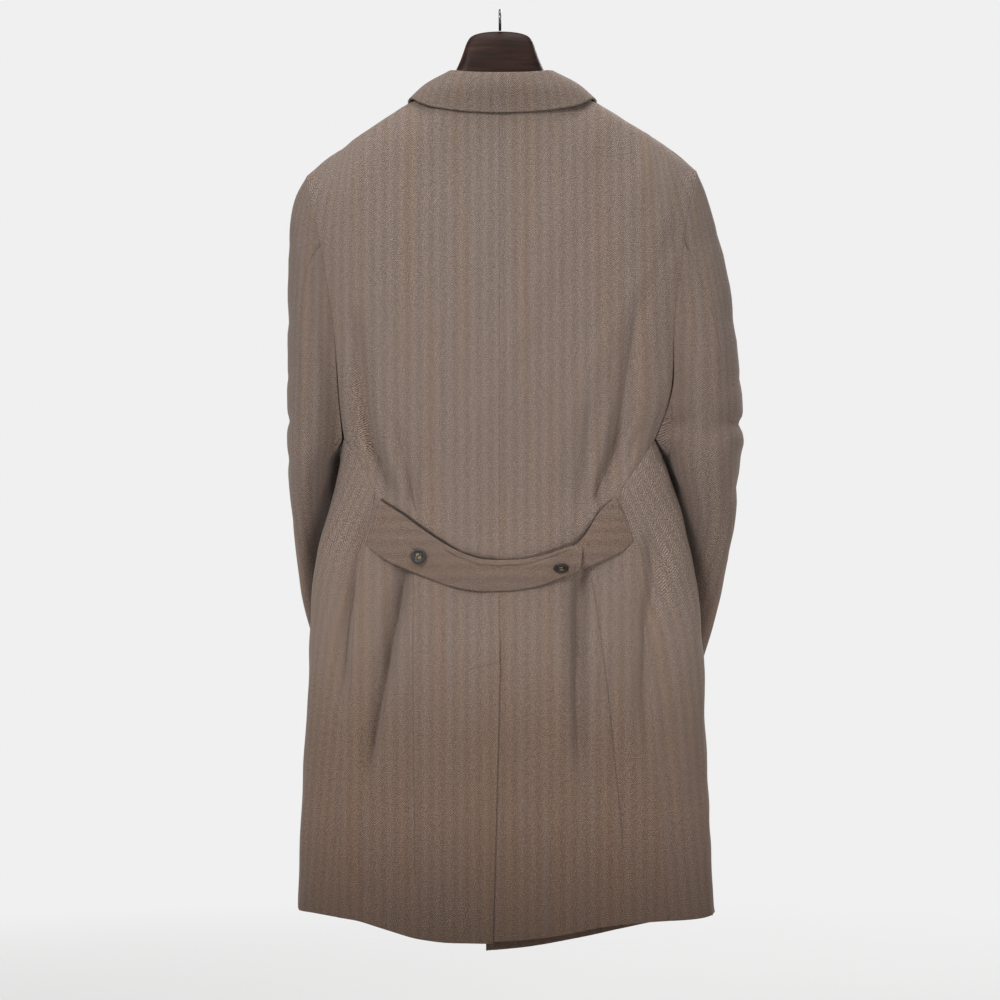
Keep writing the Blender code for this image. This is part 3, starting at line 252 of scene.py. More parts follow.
# Shapes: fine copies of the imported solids

# The body's half-width by level and half its depth, for the way out of it and round it.
HALF_LEVELS = [-1.22, -1.00, -0.80, -0.69, -0.62, -0.548, -0.43, -0.30, -0.20]
HALF_WIDTHS = [0.270, 0.262, 0.252, 0.241, 0.222, 0.2035, 0.230, 0.248, 0.262]
HALF_DEEP = 0.083
# An edge that turns by more than this is a rim, and smoothing rounds it only a little.
SHARP_EDGE = math.radians(50)
EDGE_CREASE = 0.85
# Where a rim itself turns by more than this, it has a corner.
CORNER = math.radians(24)
# The thin rims reach out by this much, so that the seams between the panels are shut.
RIM_REACH = 0.00030
# An edge shorter than this runs across a rim, through the wall.
RIM_THICK = 0.0035
MERGE = 0.00001
# Two triangles are joined if they are no more apart in slope and in squareness.
JOIN_SLOPE, JOIN_SHAPE = math.radians(45), math.radians(80)


def body_half(z):
    """The body's half-width at these levels."""
    return np.interp(z, HALF_LEVELS, HALF_WIDTHS)


def outward(points):
    """Level unit vectors that point out of the body's oval at each point."""
    away = np.zeros_like(points)
    away[:, 0] = points[:, 0] / body_half(points[:, 2]) ** 2
    away[:, 1] = points[:, 1] / HALF_DEEP**2
    return away / np.maximum(np.linalg.norm(away, axis=1, keepdims=True), 1e-9)


def keep_corners(shape, sharp):
    """Marks the points where a rim turns a corner, so that smoothing leaves them in place."""
    layer = shape.verts.layers.float.new("crease_vert")
    for vertex in shape.verts:
        rims = [edge for edge in vertex.link_edges if edge in sharp]
        rims = [edge for edge in rims if edge.calc_length() > RIM_THICK]
        if len(rims) != 2:
            continue
        ways = [edge.other_vert(vertex).co - vertex.co for edge in rims]
        if ways[0].angle(-ways[1], 0) > CORNER:
            vertex[layer] = 1.0


def reach_out(shape, sharp):
    """Moves a panel's rims out in the panel's own plane."""
    moves = {}
    for face in shape.faces:
        edges = [edge for edge in face.edges if edge in sharp]
        if len(edges) < 2 or min(edge.calc_length() for edge in face.edges) > RIM_THICK:
            continue
        for vertex in face.verts:
            moves[vertex] = moves.get(vertex, Vector()) + face.normal
    for vertex, way in moves.items():
        vertex.co += way.normalized() * RIM_REACH


def paired_mesh(node, reach):
    """A node's mesh with its triangles joined into quads, and its thin rims marked as edges."""
    shape = bmesh.new()
    shape.from_mesh(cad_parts[node].data)
    bmesh.ops.remove_doubles(shape, verts=shape.verts, dist=MERGE)
    bmesh.ops.join_triangles(
        shape,
        faces=shape.faces,
        angle_face_threshold=JOIN_SLOPE,
        angle_shape_threshold=JOIN_SHAPE,
    )
    bmesh.ops.recalc_face_normals(shape, faces=shape.faces)
    layer = shape.edges.layers.float.new("crease_edge")
    sharp = set()
    for edge in shape.edges:
        if len(edge.link_faces) == 2 and edge.calc_face_angle(0) > SHARP_EDGE:
            edge[layer] = EDGE_CREASE
            sharp.add(edge)
    keep_corners(shape, sharp)
    if reach:
        reach_out(shape, sharp)
    mesh = bpy.data.meshes.new(node + "_coarse")
    shape.to_mesh(mesh)
    shape.free()
    return mesh


def fine_copy(node, name, levels, reach=False):
    """A smoothed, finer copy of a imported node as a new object."""
    coarse = bpy.data.objects.new(name + "_coarse", paired_mesh(node, reach))
    bpy.context.scene.collection.objects.link(coarse)
    smooth = coarse.modifiers.new("smooth", "SUBSURF")
    smooth.levels = smooth.render_levels = levels
    graph = bpy.context.evaluated_depsgraph_get()
    mesh = bpy.data.meshes.new_from_object(coarse.evaluated_get(graph))
    mesh.name = name
    bpy.data.objects.remove(coarse, do_unlink=True)
    piece = bpy.data.objects.new(name, mesh)
    bpy.context.scene.collection.objects.link(piece)
    mesh.materials.clear()
    mesh.shade_smooth()
    return piece


def points_of(piece):
    """The places of a piece's points."""
    flat = np.empty(len(piece.data.vertices) * 3)
    piece.data.vertices.foreach_get("co", flat)
    return flat.reshape(-1, 3)


def set_points(piece, points):
    """Moves a piece's points to these places."""
    piece.data.vertices.foreach_set("co", points.ravel())
    piece.data.update()


# Long low ripples of worn wool: how many fit in a metre across and down, how often they bend in a
# metre down, and how high they stand.
Ripple = namedtuple("Ripple", "across down bends height")
RIPPLES = [
    Ripple(9.0, 3.1, 0.4, 0.0007),
    Ripple(15.0, 6.3, 1.9, 0.0005),
    Ripple(23.0, 10.7, 4.1, 0.0003),
    Ripple(6.0, 13.0, 2.7, 0.0004),
]
RIPPLE_SKEW, RIPPLE_BEND = 0.37 / 3, 1.7


def ripple(across, down):
    """How far the ripples lift the cloth at each place of it."""
    total = np.zeros(len(across))
    for wave in RIPPLES:
        phase = wave.across * across + wave.down * down
        skewed = wave.bends * down + RIPPLE_SKEW * wave.across * across
        bend = RIPPLE_BEND * np.sin(2 * math.pi * skewed)
        total += wave.height * np.sin(2 * math.pi * phase + bend)
    return total


# The cloth's own coordinates, in metres: round the garment and down it.

# The body's section is an oval of this power. 2 is an ellipse, and more is squarer.
OVAL_POWER = 2.5
OVAL_STEPS = 400
MEAN_HALF_WIDTH = 0.24


def oval_measure(half, deep):
    """Turns from the middle back to the middle front, and the length of oval up to each."""
    turn = np.linspace(0, 1, OVAL_STEPS)
    out, back = np.sin(math.pi * turn), np.cos(math.pi * turn)
    x = half * np.abs(out) ** (2 / OVAL_POWER)
    y = deep * np.sign(back) * np.abs(back) ** (2 / OVAL_POWER)
    steps = np.hypot(np.diff(x), np.diff(y))
    return turn, np.concatenate([[0], np.cumsum(steps)])


# The length of cloth from the centre back round to the centre front.
HALF_ROUND = 0.300
# From this share of the half-width on, over this blend, the measure follows the flank round.
FLANK_STARTS, FLANK_BLEND = 0.66, 0.28
MOST_OUT = 0.9999


def body_cloth(points, side, on_front):
    """Across is measured round the body: from the centre back, or back from the centre front."""
    half = body_half(points[:, 2])
    out, back = side * points[:, 0] / half, points[:, 1] / HALF_DEEP
    flat = np.arcsin(squared(np.clip(out, -MOST_OUT, MOST_OUT))) / math.pi
    flat = np.where(back < 0, 1 - flat, flat)
    turned = np.arctan2(squared(out), squared(back)) / math.pi
    turned = np.where((turned < 0) & (back < 0), turned + 2, turned)
    turn = flat + (turned - flat) * ease((np.abs(out) - FLANK_STARTS) / FLANK_BLEND)
    turns, lengths = oval_measure(1.0, HALF_DEEP / MEAN_HALF_WIDTH)
    across = np.sign(turn) * half * np.interp(np.abs(turn), turns, lengths)
    if on_front:
        over = np.interp(2 - turn, turns, lengths)
        past = np.where(turn > 1, 2 * lengths[-1] - over, np.interp(turn, turns, lengths))
        across = HALF_ROUND - half * (lengths[-1] - past)
    return np.stack([side * across, points[:, 2]], axis=1)


def squared(value):
    """The oval's power of a share, with its sign kept."""
    return np.sign(value) * np.abs(value) ** (OVAL_POWER / 2)


# A sleeve's middle and half-widths by level: thick is from side to side, deep from front to back.
SleeveLevel = namedtuple("SleeveLevel", "z x y thick deep")
SLEEVE_LEVELS = {
    LEFT: [
        SleeveLevel(-0.20, 0.232, 0.000, 0.020, 0.040),
        SleeveLevel(-0.40, 0.240, 0.000, 0.033, 0.060),
        SleeveLevel(-0.575, 0.242, -0.012, 0.029, 0.075),
        SleeveLevel(-0.645, 0.242, -0.056, 0.022, 0.071),
        SleeveLevel(-0.73, 0.229, -0.116, 0.021, 0.067),
        SleeveLevel(-0.82, 0.206, -0.157, 0.021, 0.063),
    ],
    RIGHT: [
        SleeveLevel(-0.20, -0.235, 0.000, 0.020, 0.040),
        SleeveLevel(-0.40, -0.262, 0.000, 0.038, 0.060),
        SleeveLevel(-0.575, -0.262, -0.012, 0.045, 0.075),
        SleeveLevel(-0.645, -0.269, -0.042, 0.034, 0.073),
        SleeveLevel(-0.74, -0.252, -0.104, 0.026, 0.067),
        SleeveLevel(-0.83, -0.229, -0.152, 0.022, 0.063),
    ],
}
# For the measure round a sleeve: half its thickness, and how many times as deep it is.
SLEEVE_HALF_THICK = 0.030
SLEEVE_FLATNESS = 2.4
# It starts at this angle, on the sleeve's inner front side.
SLEEVE_WRAP = math.radians(-125)


def sleeve_at(z, side, name):
    """A sleeve's middle or half-width at these levels."""
    levels = SLEEVE_LEVELS[side][::-1]
    return np.interp(z, [level.z for level in levels], [getattr(level, name) for level in levels])


def oval_round(turn):
    """The length round a flat oval of half-thickness 1, up to each angle."""
    angles = np.linspace(SLEEVE_WRAP, SLEEVE_WRAP + 2 * math.pi, OVAL_STEPS + 1)
    steps = np.hypot(np.diff(np.cos(angles)), SLEEVE_FLATNESS * np.diff(np.sin(angles)))
    lengths = np.concatenate([[0], np.cumsum(steps)])
    turn = np.where(turn < SLEEVE_WRAP, turn + 2 * math.pi, turn)
    return np.interp(turn, angles, lengths)


def sleeve_cloth(points, side):
    """Across is measured round the sleeve, and down it along its middle line."""
    x, y, z = points.T
    middle = np.array([[level.x, level.y, level.z] for level in SLEEVE_LEVELS[side]])[::-1]
    run = np.concatenate([[0], np.cumsum(np.linalg.norm(np.diff(middle, axis=0), axis=1))])
    down = np.interp(z, middle[:, 2], run)
    out = (x - sleeve_at(z, side, "x")) / sleeve_at(z, side, "thick") * side
    back = (y - sleeve_at(z, side, "y")) / sleeve_at(z, side, "deep")
    turn = np.arctan2(back, out)
    return np.stack([SLEEVE_HALF_THICK * oval_round(turn), down], axis=1)


def flat_cloth(points):
    """Across and down as they are seen from straight behind."""
    return points[:, [0, 2]].copy()


# The collar's back, how far aside it has turned forwards, and the share of its depth that counts.
COLLAR_BACK_Y = 0.07
COLLAR_TURN_IN = 0.03
COLLAR_WRAP = 0.7


def collar_cloth(points):
    """Across runs along the back, and takes in the collar's depth where it turns forwards."""
    aside = np.tanh(points[:, 0] / COLLAR_TURN_IN)
    across = points[:, 0] - COLLAR_WRAP * aside * (points[:, 1] - COLLAR_BACK_Y)
    return np.stack([across, points[:, 2]], axis=1)


CLOTH_MAP = "cloth"
# A face whose corners are further apart than this lies over the seam of the measure.
WRAP = 0.12


def map_cloth(piece, measure):
    """Writes the cloth's coordinates as a map, with no jump inside a face."""
    mesh = piece.data
    layer = mesh.uv_layers.new(name=CLOTH_MAP)
    corners = np.empty(len(mesh.loops), int)
    mesh.loops.foreach_get("vertex_index", corners)
    starts = np.empty(len(mesh.polygons), int)
    counts = np.empty(len(mesh.polygons), int)
    mesh.polygons.foreach_get("loop_start", starts)
    mesh.polygons.foreach_get("loop_total", counts)
    values = measure[corners]
    first = np.repeat(values[starts, 0], counts)
    jump = values[:, 0] - first
    values[:, 0] = np.where(np.abs(jump) > WRAP, first, values[:, 0])
    layer.data.foreach_set("uv", values.ravel())


# Materials

# The Mix node's sockets for two colours.
MIX_SHARE, MIX_FIRST, MIX_SECOND, MIX_RESULT = 0, 6, 7, 2


class Nodes:
    """A short way to add nodes to a material and to link them."""

    def __init__(self, name):
        self.material = bpy.data.materials.new(name)
        self.material.use_nodes = True
        self.tree = self.material.node_tree
        self.shader = self.tree.nodes["Principled BSDF"]

    def surface(self, values):
        """Sets the shader's own sockets to uniform values."""
        for name, value in values.items():
            self.shader.inputs[name].default_value = value

    def add(self, kind, **settings):
        node = self.tree.nodes.new("ShaderNode" + kind)
        for key, value in settings.items():
            setattr(node, key, value)
        return node

    def link(self, source, target):
        self.tree.links.new(source, target)

    def math(self, operation, first, second=None):
        node = self.add("Math", operation=operation)
        for socket, value in zip(node.inputs, (first, second)):
            if value is None:
                continue
            if isinstance(value, (int, float)):
                socket.default_value = value
            else:
                self.link(value, socket)
        return node.outputs[0]

    def place(self):
        """Where in the object each point lies, in metres."""
        return self.add("TexCoord").outputs["Object"]

    def split(self, vector):
        """The three parts of a vector."""
        node = self.add("SeparateXYZ")
        self.link(vector, node.inputs[0])
        return node.outputs

    def noise(self, vector, scale, detail=2.0, roughness=0.5):
        node = self.add("TexNoise")
        self.link(vector, node.inputs["Vector"])
        node.inputs["Scale"].default_value = scale
        node.inputs["Detail"].default_value = detail
        node.inputs["Roughness"].default_value = roughness
        return node.outputs[0]

    def mix(self, share, first, second, blend="MIX"):
        node = self.add("Mix", data_type="RGBA", blend_type=blend)
        sockets = [node.inputs[index] for index in (MIX_SHARE, MIX_FIRST, MIX_SECOND)]
        for socket, value in zip(sockets, (share, first, second)):
            if isinstance(value, (int, float)):
                socket.default_value = value
            elif isinstance(value, tuple):
                socket.default_value = (*value, 1)
            else:
                self.link(value, socket)
        return node.outputs[MIX_RESULT]

    def ramp(self, value, stops):
        node = self.add("ValToRGB")
        self.link(value, node.inputs[0])
        elements = node.color_ramp.elements
        while len(elements) < len(stops):
            elements.new(0.5)
        for element, (place, colour) in zip(elements, stops):
            element.position = place
            element.color = (*colour, 1)
        return node.outputs[0]

    def line(self, place, start, end, wide):
        """1 on the straight line between two places, and 0 this far from it."""
        way = Vector(end) - Vector(start)
        off = self.add("VectorMath", operation="SUBTRACT")
        self.link(place, off.inputs[0])
        off.inputs[1].default_value = start
        run = self.add("VectorMath", operation="DOT_PRODUCT")
        self.link(off.outputs[0], run.inputs[0])
        run.inputs[1].default_value = way / way.length_squared
        # Adding nothing only clamps the share between the two ends.
        share = self.math("ADD", run.outputs["Value"], 0.0)
        share.node.use_clamp = True
        foot = self.add("VectorMath", operation="SCALE")
        foot.inputs[0].default_value = way
        self.link(share, foot.inputs["Scale"])
        far = self.add("VectorMath", operation="DISTANCE")
        self.link(off.outputs[0], far.inputs[0])
        self.link(foot.outputs[0], far.inputs[1])
        near = self.add("MapRange", interpolation_type="SMOOTHSTEP")
        self.link(far.outputs["Value"], near.inputs["Value"])
        near.inputs["From Max"].default_value = wide
        near.inputs["To Min"].default_value = 1.0
        near.inputs["To Max"].default_value = 0.0
        return near.outputs[0]

    def bump(self, height, strength, distance):
        node = self.add("Bump")
        self.link(height, node.inputs["Height"])
        node.inputs["Strength"].default_value = strength
        node.inputs["Distance"].default_value = distance
        self.link(node.outputs[0], self.shader.inputs["Normal"])


# The herringbone repeats every two ribs; a rib's fine diagonals are a pitch apart.
RIB_WIDE = 0.0075
TWILL_PITCH = 0.0030
DARK_YARN = (0.080, 0.054, 0.043)
MID_YARN = (0.232, 0.172, 0.142)
PALE_YARN = (0.525, 0.424, 0.366)
YARN_STOPS = [(0.30, DARK_YARN), (0.51, MID_YARN), (0.75, PALE_YARN)]
WARM_TINT, GREY_TINT = (1.0, 0.950, 0.895), (0.975, 0.985, 1.0)
# Painted shade: the sleeves, the belt and the collar are the same wool painted darker, where they get
# less light; plain wool gets none.
SLEEVE_PAINTED_SHADE = (0.84, 0.83, 0.83)
BELT_PAINTED_SHADE = (0.84, 0.80, 0.77)
COLLAR_PAINTED_SHADE = (0.86, 0.85, 0.84)
PLAIN = (1.0, 1.0, 1.0)
# Painted shade by height above a level just under the hem, this far below the hook: the wool is painted
# darker and browner towards the hem, where less light falls.
HEM_FLOOR = 1.22
PAINTED_HEM_SHADES = [
    (0.03, (0.38, 0.33, 0.29)),
    (0.12, (0.58, 0.51, 0.46)),
    (0.20, (0.76, 0.69, 0.63)),
    (0.30, (0.79, 0.73, 0.68)),
    (0.42, (0.98, 0.97, 0.95)),
    (0.65, (1.0, 1.0, 1.0)),
    (0.95, (0.93, 0.945, 0.95)),
]
WOOL_SURFACE = {
    "Roughness": 0.95,
    "Specular IOR Level": 0.18,
    "Sheen Weight": 0.20,
    "Sheen Roughness": 0.55,
    "Sheen Tint": (0.88, 0.80, 0.74, 1),
}
FLECK_SCALE, COARSE_SCALE = 640.0, 230.0
# How much the diagonals, the ribs and the coarse flecks add to the fine flecks.
TWILL_SHARE, RIB_SHARE, COARSE_SHARE = 0.095, 0.016, 0.16
# Broad soft streaks run down the cloth: how many in a metre across and down.
STREAKS_ACROSS, STREAKS_DOWN = 42.0, 1.6
STREAK_STOPS = [(0.36, WARM_TINT), (0.60, GREY_TINT)]

# Dark lines of the back, along a path of the photograph's pixels: how far the line spreads in metres and
# how dark it is. The seams and stitching are the cloth's own; the pressed fold lines are painted shade
# in their creases, and the line along the belt's top edge is a painted shadow.
SEAM_AND_SHADE_COLOUR = (0.020, 0.013, 0.010)
Mark = namedtuple("Mark", "path wide dark")
BACK_SEAMS_AND_SHADE = [
    # Pressed pleat edges below the belt: painted shade in their creases.
    Mark([(413, 574), (413, 700), (415, 876)], 0.0015, 0.34),
    Mark([(592, 578), (601, 634), (608, 690), (623, 838)], 0.0015, 0.38),
    # A fold above the belt: painted shade in its crease.
    Mark([(398, 438), (405, 465)], 0.0011, 0.16),
    Mark([(405, 465), (410, 484), (415, 512)], 0.0013, 0.40),
    # The centre back seam and the stitching at the vent's top.
    Mark([(499.5, 110), (499.5, 558)], 0.0013, 0.20),
    Mark([(499.5, 590), (499.5, 662)], 0.0013, 0.28),
    Mark([(499, 662), (470, 669)], 0.0013, 0.26),
    # The left side seam above the belt, painted darker as the shadow under its folded edge.
    Mark([(352, 440), (370, 470), (382, 495)], 0.0014, 0.22),
    # Painted shadow along the belt's top edge, darkest at the left.
    Mark([(381, 500), (404, 514.5), (434, 536), (458, 551)], 0.0030, 0.75),
    Mark([(458, 551), (480, 558.5), (500, 560)], 0.0024, 0.55),
    Mark([(500, 560), (528, 558), (550, 551), (572, 543)], 0.0020, 0.30),
]
BELT_MARKS = [
    Mark([(444, 549), (458, 557), (480, 564.5), (499, 566), (528, 564), (550, 557), (572, 549)],
         0.0015, 0.40),
    Mark([(410, 547), (418, 552)], 0.0016, 0.55),
]


def tweed(name, turned=False, marks=(), painted_shade=PLAIN):
    """Brown and beige herringbone wool, read from the cloth's map; turned lays its ribs across."""
    made = Nodes(name)
    cloth = made.add("UVMap", uv_map=CLOTH_MAP).outputs[0]
    across, down, _ = made.split(cloth)
    if turned:
        across, down = down, across
    yarn = weave(made, cloth, across, down)
    colour = made.ramp(yarn, YARN_STOPS)
    colour = made.mix(1.0, colour, streaks(made, across, down), "MULTIPLY")
    # Painted shade, darker and browner towards the hem.
    colour = made.mix(1.0, colour, painted_hem_shade(made), "MULTIPLY")
    # Painted shade of a whole piece that gets less light.
    colour = made.mix(1.0, colour, painted_shade, "MULTIPLY")
    height = yarn
    if marks:
        drawn = marked(made, marks)
        colour = made.mix(drawn, colour, SEAM_AND_SHADE_COLOUR)
        height = made.math("SUBTRACT", yarn, drawn)
    made.link(colour, made.shader.inputs["Base Color"])
    made.surface(WOOL_SURFACE)
    made.bump(height, strength=0.45, distance=0.0006)
    return made.material


def weave(made, cloth, across, down):
    """The yarns: fine flecks first, then faint diagonals that turn at each rib."""
    rib = made.math("PINGPONG", across, RIB_WIDE)
    diagonal = made.math("ADD", down, rib)
    wave = made.math("SINE", made.math("MULTIPLY", diagonal, 2 * math.pi / TWILL_PITCH))
    side = made.math("SINE", made.math("MULTIPLY", across, math.pi / RIB_WIDE))
    fleck = made.noise(cloth, FLECK_SCALE, roughness=0.7)
    coarse = made.math("SUBTRACT", made.noise(cloth, COARSE_SCALE, roughness=0.6), 0.5)
    yarn = made.math("ADD", fleck, made.math("MULTIPLY", wave, TWILL_SHARE))
    yarn = made.math("ADD", yarn, made.math("MULTIPLY", side, RIB_SHARE))
    return made.math("ADD", yarn, made.math("MULTIPLY", coarse, COARSE_SHARE))


def streaks(made, across, down):
    """Broad soft bands of warmer and greyer wool that run down the cloth."""
    place = made.add("CombineXYZ")
    made.link(made.math("MULTIPLY", across, STREAKS_ACROSS), place.inputs[0])
    made.link(made.math("MULTIPLY", down, STREAKS_DOWN), place.inputs[1])
    band = made.noise(place.outputs[0], scale=1.0, detail=3.0, roughness=0.55)
    return made.ramp(band, STREAK_STOPS)


def marked(made, marks):
    """How dark the drawn lines are at each place of the back: seams and stitching, and painted shade and
    shadow.
    """
    x, _, z = made.split(made.place())
    flat = made.add("CombineXYZ")
    made.link(x, flat.inputs[0])
    made.link(z, flat.inputs[2])
    total = None
    for mark in marks:
        for first, last in zip(mark.path, mark.path[1:]):
            ends = from_photo(*first), from_photo(*last)
            one = made.math("MULTIPLY", made.line(flat.outputs[0], *ends, mark.wide), mark.dark)
            total = one if total is None else made.math("MAXIMUM", total, one)
    return total


def painted_hem_shade(made):
    """Painted shade: the wool is painted browner and darker towards the hem, where less light falls, and
    a little cooler at the shoulders.
    """
    _, _, z = made.split(made.place())
    return made.ramp(made.math("ADD", z, HEM_FLOOR), PAINTED_HEM_SHADES)


HORN_STOPS = [(0.35, (0.006, 0.007, 0.006)), (0.66, (0.040, 0.034, 0.024))]
THREAD_STOPS = [(0.35, (0.36, 0.27, 0.11)), (0.65, (0.54, 0.405, 0.165))]


def horn():
    """Nearly black horn with paler veins."""
    made = Nodes("horn_button")
    veins = made.noise(made.place(), scale=260.0, detail=4.0, roughness=0.6)
    made.link(made.ramp(veins, HORN_STOPS), made.shader.inputs["Base Color"])
    made.surface({"Roughness": 0.38})
    made.bump(veins, strength=0.12, distance=0.0003)
    return made.material


def thread():
    """The buttons' yellowish sewing thread."""
    made = Nodes("thread")
    fuzz = made.noise(made.place(), scale=2500.0)
    made.link(made.ramp(fuzz, THREAD_STOPS), made.shader.inputs["Base Color"])
    made.surface({"Roughness": 0.8})
    made.bump(fuzz, strength=0.3, distance=0.0002)
    return made.material


WOOD_STOPS = [
    (0.30, (0.012, 0.004, 0.003)),
    (0.55, (0.030, 0.011, 0.007)),
    (0.78, (0.062, 0.023, 0.014)),
]
WOOD_SURFACE = {"Roughness": 0.5, "Specular IOR Level": 0.2}
# How many times the grain changes in a metre along the hanger, and across it.
GRAIN_STRETCH = (14.0, 140.0, 140.0)


def dark_wood():
    """Nearly black brown varnished beech, its grain along the hanger."""
    made = Nodes("varnished_wood")
    stretch = made.add("Mapping")
    stretch.inputs["Scale"].default_value = GRAIN_STRETCH
    made.link(made.place(), stretch.inputs[0])
    grain = made.noise(stretch.outputs[0], scale=1.0, detail=5.0, roughness=0.6)
    made.link(made.ramp(grain, WOOD_STOPS), made.shader.inputs["Base Color"])
    made.surface(WOOD_SURFACE)
    made.bump(grain, strength=0.15, distance=0.0004)
    return made.material


STEEL_SURFACE = {"Base Color": (0.20, 0.20, 0.205, 1), "Metallic": 1.0}
# The wire's roughness, as greys, where it is polished and where it is worn.
STEEL_STOPS = [(0.3, (0.16, 0.16, 0.16)), (0.7, (0.34, 0.34, 0.34))]


def steel():
    """Polished wire with duller patches."""
    made = Nodes("polished_wire")
    wear = made.noise(made.place(), scale=400.0, detail=3.0)
    made.surface(STEEL_SURFACE)
    made.link(made.ramp(wear, STEEL_STOPS), made.shader.inputs["Roughness"])
    return made.material


# Cloth pieces

# Each node's flat cut, its area, and how many times its fine copy is divided.
Cut = namedtuple("Cut", "node wide long area levels")
CUTS = [
    Cut("back_left", 0.250, 1.110, 0.226, 3),
    Cut("back_right", 0.280, 1.110, 0.242, 3),
    Cut("front_left", 0.410, 1.140, 0.330, 2),
    Cut("front_right", 0.410, 1.140, 0.356, 2),
    Cut("sleeve_top_left", 0.130, 0.680, 0.068, 2),
    Cut("sleeve_top_right", 0.135, 0.690, 0.072, 2),
    Cut("sleeve_under_left", 0.190, 0.620, 0.092, 2),
    Cut("sleeve_under_right", 0.210, 0.640, 0.109, 2),
    Cut("collar", 0.560, 0.110, 0.042, 3),
    Cut("lapel_left", 0.110, 0.240, 0.010, 2),
    Cut("lapel_right", 0.110, 0.240, 0.010, 2),
    Cut("belt_left", 0.300, 0.060, 0.0135, 2),
    Cut("belt_right", 0.110, 0.065, 0.0047, 2),
]

# The armhole's edge by level, where the body's and the sleeve's creases fade out.
ARMHOLE_LEVELS = [-0.548, -0.522, -0.492, -0.427, -0.360, -0.300, -0.241, -0.210]
ARMHOLE_X = {
    LEFT: [0.1982, 0.2022, 0.2044, 0.2095, 0.2196, 0.2297, 0.2403, 0.2470],
    RIGHT: [0.1960, 0.2085, 0.2195, 0.2192, 0.2277, 0.2347, 0.2417, 0.2515],
}
SETTLE_REACH = 0.022
# From this depth on, over this blend, the back's folds take over from the front's.
FRONT_STARTS, FRONT_BLEND = -0.035, 0.030


def settle(points, side):
    """0 on the armhole's seam and 1 away from it, so that the seam stays shut."""
    edge = np.interp(points[:, 2], ARMHOLE_LEVELS, ARMHOLE_X[side])
    below = np.minimum(points[:, 2] - ARMHOLE_LEVELS[0], 0)
    return ease(np.hypot(np.abs(points[:, 0]) - edge, below) / SETTLE_REACH)


def crease_body(points, side):
    """Presses the creases and ripples into a body panel."""
    seen = in_photo(points)
    behind = ease((points[:, 1] - FRONT_STARTS) / FRONT_BLEND)
    press = behind * (crease_depth(seen, BACK_CREASES) + belt_tuck(seen))
    press += (1 - behind) * crease_depth(seen, FRONT_CREASES)
    lift = ripple(body_cloth(points, side, False)[:, 0], points[:, 2])
    move = (lift - press) * settle(points, side)
    return points + outward(points) * move[:, None]


# Creases of the sleeves: level, how far they fall from back to front, reach and depth. They run
# between two shares of the sleeve's depth, from -1 in front to 1 behind.
SleeveCrease = namedtuple("SleeveCrease", "z slope reach depth start end")
SLEEVE_CREASES = {
    LEFT: [
        SleeveCrease(-0.300, 0.30, 0.010, 0.0014, -0.6, 0.9),
        SleeveCrease(-0.395, -0.25, 0.012, 0.0018, -0.9, 0.6),
        SleeveCrease(-0.470, 0.35, 0.010, 0.0022, -1.0, 1.0),
        SleeveCrease(-0.525, 0.20, 0.009, 0.0034, -1.0, 1.0),
        SleeveCrease(-0.570, -0.20, 0.010, 0.0026, -0.8, 1.0),
        SleeveCrease(-0.625, -0.45, 0.010, 0.0020, -1.0, 1.0),
        SleeveCrease(-0.700, -0.50, 0.012, 0.0014, -0.9, 0.9),
    ],
    RIGHT: [
        SleeveCrease(-0.290, -0.25, 0.012, 0.0016, -0.8, 0.9),
        SleeveCrease(-0.400, 0.30, 0.014, 0.0022, -1.0, 0.8),
        SleeveCrease(-0.470, -0.20, 0.011, 0.0024, -1.0, 1.0),
        SleeveCrease(-0.527, 0.06, 0.008, 0.0060, -1.0, 1.0),
        SleeveCrease(-0.552, 0.10, 0.010, -0.0026, -1.0, 1.0),
        SleeveCrease(-0.600, -0.35, 0.011, 0.0030, -0.8, 1.0),
        SleeveCrease(-0.660, -0.50, 0.012, 0.0022, -1.0, 1.0),
        SleeveCrease(-0.735, -0.50, 0.012, 0.0014, -0.9, 0.9),
    ],
}
SLEEVE_HALF_DEEP = 0.07
SLEEVE_FADE = 0.4

# Under the arm the sleeve's inner front part closes in on the body: how far, level, reach.
Nestle = namedtuple("Nestle", "far z reach")
NESTLE = {LEFT: Nestle(0.036, -0.574, 0.042), RIGHT: Nestle(0.040, -0.584, 0.048)}
# It starts this far in front of the hanger's plane and is full this much further on.
NESTLE_FRONT, NESTLE_DEEP = -0.020, 0.045


def nestle(points, side, inward):
    """How far each point of a sleeve closes in on the body."""
    place = NESTLE[side]
    near = np.exp(-(((points[:, 2] - place.z) / place.reach) ** 2))
    ahead = ease((NESTLE_FRONT - points[:, 1]) / NESTLE_DEEP)
    return place.far * near * ahead * np.clip(inward, 0, 1) * settle(points, side)


def crease_sleeve(points, side):
    """Presses the creases and ripples into a sleeve and nestles it against the body."""
    x, y, z = points.T
    behind = y - sleeve_at(z, side, "y")
    away = np.stack([x - sleeve_at(z, side, "x"), behind, 0 * z], axis=1)
    away = away / np.maximum(np.linalg.norm(away, axis=1, keepdims=True), 1e-6)
    deep = behind / SLEEVE_HALF_DEEP
    total = np.zeros(len(points))
    for crease in SLEEVE_CREASES[side]:
        far = z - crease.z - crease.slope * behind
        along = ease((deep - crease.start) / SLEEVE_FADE) * ease((crease.end - deep) / SLEEVE_FADE)
        total += crease.depth * along * np.exp(-((far / crease.reach) ** 2))
    lift = ripple(sleeve_cloth(points, side)[:, 0], z)
    move = (lift - total) * settle(points, side)
    creased = points + away * move[:, None]
    creased[:, 0] -= side * nestle(points, side, -away[:, 0] * side)
    return creased


